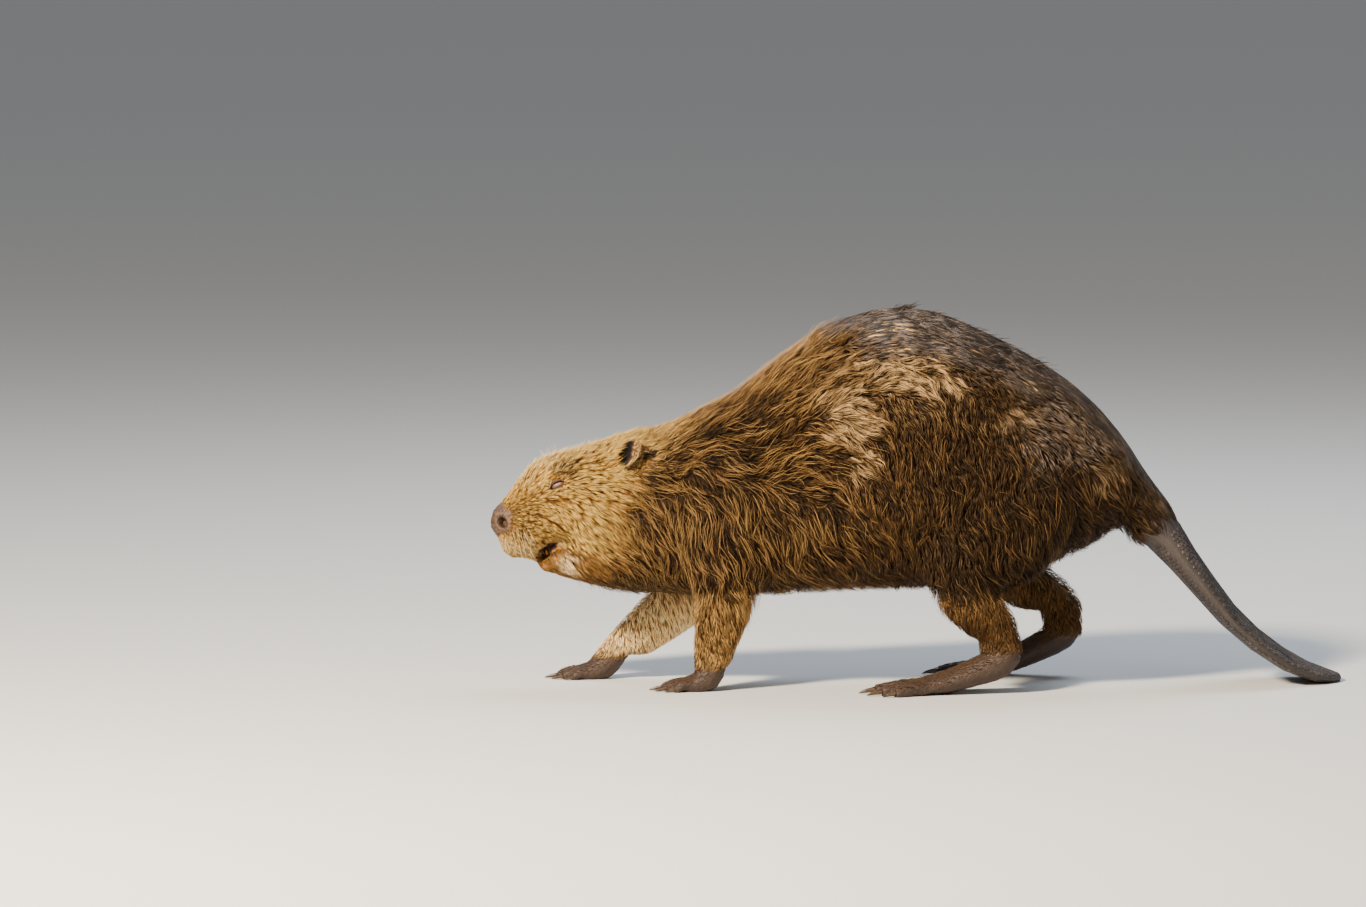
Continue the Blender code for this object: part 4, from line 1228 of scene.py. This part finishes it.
def stray_coat(coat, surface):
    """Whiskers, bristles on the brow and stray hairs that stand out of the outline."""
    c, n = surface.centres, surface.centre_normals
    x, y, z, _ = body(c)
    up = n[:, 2]
    whiskers = spot(x, z, (30, 166), (1, 1), 8, 20) * (x < 50) * (y > 12)
    brow = spot(x, z, (66, 244), (1, 1), 6, 16) * (up > 0.3)
    crown = (up > 0.5) * (x > 30) * (x < 200) * (z > 190) * np.interp(x, [60, 110, 200], [1.5, 0.8, 0.6])
    spine = (up > 0.7) * (x > 200) * (x < 650) * np.clip(0.25 + waves(c, 60, 91), 0, 2)
    ragged = (up > 0.5) * (x > 445) * (x < 610) * np.clip(waves(c, 34, 92), 0, 2)
    crest = (np.hypot(x - 449, y) < 9) * (z > 380)
    fringe = ramp(-up, 0.2, 0.6) * (x > 84) * (x < 660) * (leg_mask(c) < 0.3)
    fringe = fringe * ~((z < 60) | (x > 480) & (z < 95))
    # where they stand, how many, their length, width and lean, and their colour
    kinds = (
        (whiskers, 60, 34, 0.42, (0.1, 1.0, -0.35), CREAM * 0.8),
        (brow, 34, 15, 0.5, (-0.35, 0.4, 0.9), CREAM * 0.85),
        (crown, 800, 9.5, 0.45, (0.6, 0.1, 0.75), mix(STRAW_LIGHT, CREAM, 0.5)),
        (spine, 130, 17, 0.4, (0.95, 0.1, 0.15), mix(BROWN_LIGHT, WET_LIGHT, 0.5)),
        (ragged, 340, 14, 0.8, (0.97, 0.1, -0.22), WET),
        (crest, 40, 14, 0.9, (0.95, 0, 0.2), WET),
        (fringe, 900, 13, 0.6, (0.6, 0.1, -0.6), BROWN),
    )
    steps = 4
    droop = np.array((0.05, 0, -0.09))
    hairy = 1 - bare_mask(c, n)
    for weight, count, size, width, lean, colour in kinds:
        p, m = surface.sow(weight * hairy, count)
        ahead = unit(sided(lean, body(p)[3]) + m * 0.45 + rng.normal(0, 0.16, p.shape))
        length = size * rng.uniform(0.6, 1.3, count) * MM
        line = [p]
        for _ in range(steps):
            ahead = unit(ahead + droop)
            line.append(line[-1] + ahead * (length / steps)[:, None])
        normals = np.repeat(m[None], steps + 1, 0)
        tone = np.tile(colour, (count, 1)) * rng.uniform(0.7, 1.2, count)[:, None]
        height = np.zeros((steps + 1, count))
        gloss = np.full(count, 0.4)
        coat.add(np.stack(line), normals, np.full(count, width), height, (tone * 0.7, tone), gloss, 0.8)


# ---------------- tail

# The middle line of the paddle, as X, Y and Z, and half its width there.
TAIL_LINE = [(736, 3, 165), (757, 6, 138), (780, 11, 109), (806, 17, 77), (836, 23, 49), (868, 30, 26)]
TAIL_LINE += [(897, 36, 11.5), (918, 40, 6), (929, 42, 4.2), (933, 43, 3.6)]
TAIL_HALF = [40, 48, 57, 63, 65, 61, 50, 35, 20, 9]
SCALE_ROWS, SCALE_STEP = 4.3, 5.6  # from row to row, and from scale to scale in a row
SCALE_LONG, SCALE_WIDE = 3.35, 3.05  # the radius of a scale's rim


def scale_places():
    """The middles of scales in staggered rows, off both faces of the paddle."""
    path = np.array(TAIL_LINE, float)
    steps = np.concatenate([[0], np.cumsum(np.linalg.norm(np.diff(path, axis=0), axis=1))])

    def place(s):
        return np.array([np.interp(s, steps, path[:, k]) for k in range(3)])

    places = []
    for row, s in enumerate(np.arange(0.5, steps[-1], SCALE_ROWS)):
        ahead = unit(place(s + 4) - place(s - 4))
        across = unit(np.array((0, 1.0, 0)) - ahead * ahead[1])
        up = np.cross(ahead, across)
        reach = np.interp(s, steps, TAIL_HALF)
        for t in np.arange(-reach, reach, SCALE_STEP) + (SCALE_STEP / 2 if row % 2 else 0):
            if abs(t) <= reach * 0.98:
                places += [place(s) + across * t + up * face * 9 for face in (-1, 1)]
    return np.array(places) * MM + np.array((NOSE_X, 0, 0))


def tail_scales(surface):
    """Overlapping six-sided scales: a low rim, a smaller raised one and a peak."""
    starts = scale_places()
    p, n = surface.nearest(starts + rng.normal(0, 0.25 * MM, starts.shape))
    keep = tail_mask(p) > 0.35
    p, n = p[keep], n[keep]
    count = len(p)
    ahead = np.tile((0.6, 0.15, -0.4), (count, 1))
    ahead[:, 2] = np.interp(body(p)[0], [740, 800, 860, 930], [-1.25, -1.1, -0.6, -0.15])
    ahead = along_skin(ahead, n)
    across = np.cross(n, ahead)
    size = rng.uniform(0.9, 1.08, count)[:, None] * MM
    low, high, offsets = [], [], []
    for i in range(6):
        a = math.radians(60 * i + 30)
        u, v = math.cos(a) * SCALE_LONG, math.sin(a) * SCALE_WIDE
        low.append(p + (across * v + ahead * u) * size - n * 0.5 * MM)
        tip = 0.62 + 0.18 * math.cos(a)
        high.append(p + (across * v * 0.72 + ahead * (u * 0.72 + 0.3)) * size + n * tip * MM)
        turn = math.radians(60 * i)
        offsets.append((math.cos(turn) * 0.0015, math.sin(turn) * 0.0015))
    corners = low + high + [p + n * 0.78 * MM]
    faces = []
    for i in range(6):
        j = (i + 1) % 6
        faces += [(i, j, 6 + j), (i, 6 + j, 6 + i), (6 + i, 6 + j, 12)]
    faces += [(0, 2, 1), (0, 3, 2), (0, 4, 3), (0, 5, 4)]
    mesh = triangle_mesh("scales", np.stack(corners, 1).reshape(-1, 3), copies(np.array(faces), count, 13))
    mesh.shade_flat()
    bm = bmesh.new()
    bm.from_mesh(mesh)
    bmesh.ops.recalc_face_normals(bm, faces=bm.faces)
    bm.to_mesh(mesh)
    bm.free()
    base = TAIL * rng.uniform(0.75, 1.3, count)[:, None] * (1 + 0.25 * waves(p, 30, 81))[:, None]
    # each scale's sunken rim is painted at 0.45 of its colour, painted shade in the cracks between scales,
    # and its peak at 1.12, a painted highlight
    tones = np.stack([base * 0.45] * 6 + [base] * 6 + [base * 1.12], 1)
    paint(mesh, tones.reshape(-1, 3), np.full(count * 13, 0.42))
    patch = np.array(offsets + [(a * 0.7, b * 0.7) for a, b in offsets] + [(0.0, 0.0)])
    map_uv(mesh, (unwrap(p)[:, None] + patch).reshape(-1, 2))
    dress(add_object("scales", mesh), coat_material(), "tail_scales")


# ---------------- eyes, teeth, claws


def softened(name, mat, slot, levels=2):
    """A smooth piece in place of a CAD node."""
    bm = bmesh.new()
    bm.from_mesh(NODES[name].data)
    bmesh.ops.remove_doubles(bm, verts=bm.verts, dist=1e-6)
    obj = object_from(bm, f"{name}_piece")
    soft = obj.modifiers.new("soft", "SUBSURF")
    soft.levels = levels
    soft.render_levels = levels
    settle(obj)
    obj.data.shade_smooth()
    dress(obj, mat, slot, name)


def eyes():
    mat = eye_material()
    for side, word in ((-1, "left"), (1, "right")):
        bm = bmesh.new()
        bmesh.ops.create_icosphere(bm, subdivisions=4, radius=EYE_R * MM)
        bmesh.ops.translate(bm, vec=at(EYE[0], side * EYE[1], EYE[2]), verts=bm.verts)
        obj = object_from(bm, f"eye_{word}_piece")
        obj.data.shade_smooth()
        dress(obj, mat, "eye", f"eye_{word}")


def teeth_and_claws():
    enamel, _ = clouded("enamel", 0.25, 240, 4, ENAMEL_DARK, ENAMEL_LIGHT, 0.3, 0.75)
    horn, _ = clouded("claw", 0.32, 320, 5, HORN_DARK, HORN_LIGHT, 0.35, 0.7)
    for node in ("incisors_upper", "incisors_lower"):
        softened(node, enamel, "enamel", 1)
    for node in sorted(NODES):
        if node.startswith("claw_"):
            softened(node, horn, "claw_horn")


# ---------------- stage


def aimed(name, data, place, target):
    """A lamp or a camera at a place, looking at a target."""
    obj = add_object(name, data)
    obj.location = place
    obj.rotation_euler = (target - obj.location).to_track_quat("-Z", "Y").to_euler()
    return obj


def stage():
    bm = bmesh.new()
    bmesh.ops.create_grid(bm, x_segments=1, y_segments=1, size=90)
    floor = object_from(bm, "floor")
    mat, _, shader = material("floor", 0.9, 0.1)
    shader.inputs["Base Color"].default_value = (0.66, 0.65, 0.63, 1)
    floor.data.materials.append(mat)
    world = bpy.data.worlds.new("studio")
    world.use_nodes = True
    sky = world.node_tree.nodes["Background"]
    sky.inputs["Color"].default_value = (0.9, 0.94, 1.0, 1)
    sky.inputs["Strength"].default_value = 0.3
    bpy.context.scene.world = world
    for name, place, size, power, colour in (
        ("key", (-1.8, -2.3, 2.2), 0.45, 390, (1.0, 0.87, 0.68)),
        ("fill", (2.2, -2.6, 1.2), 1.8, 16, (1.0, 0.97, 0.92)),
        ("rim", (0.7, 1.7, 2.8), 2.0, 82, (0.74, 0.85, 1.0)),
    ):
        light = bpy.data.lights.new(name, "AREA")
        light.size = size
        light.energy = power
        light.color = colour
        aimed(name, light, place, Vector((0, 0, 0.2)))
    camera = bpy.data.cameras.new("camera")
    camera.lens = 240
    camera.sensor_width = 36
    camera.clip_end = 200
    target = Vector((CAD_BOX[0][0] + 0.2112, 0, 0.255))
    rise, away = math.radians(5), 10
    place = target + Vector((0, -math.cos(rise), math.sin(rise))) * away
    bpy.context.scene.camera = aimed("camera", camera, place, target)


# ---------------- the whole

stage()
surface = Surface(skin_piece())
coat = Coat()
head_coat(coat, surface)
body_coat(coat, surface)
limb_coat(coat, surface)
stray_coat(coat, surface)
coat.pieces(COAT_PIECES)
tail_scales(surface)
eyes()
teeth_and_claws()
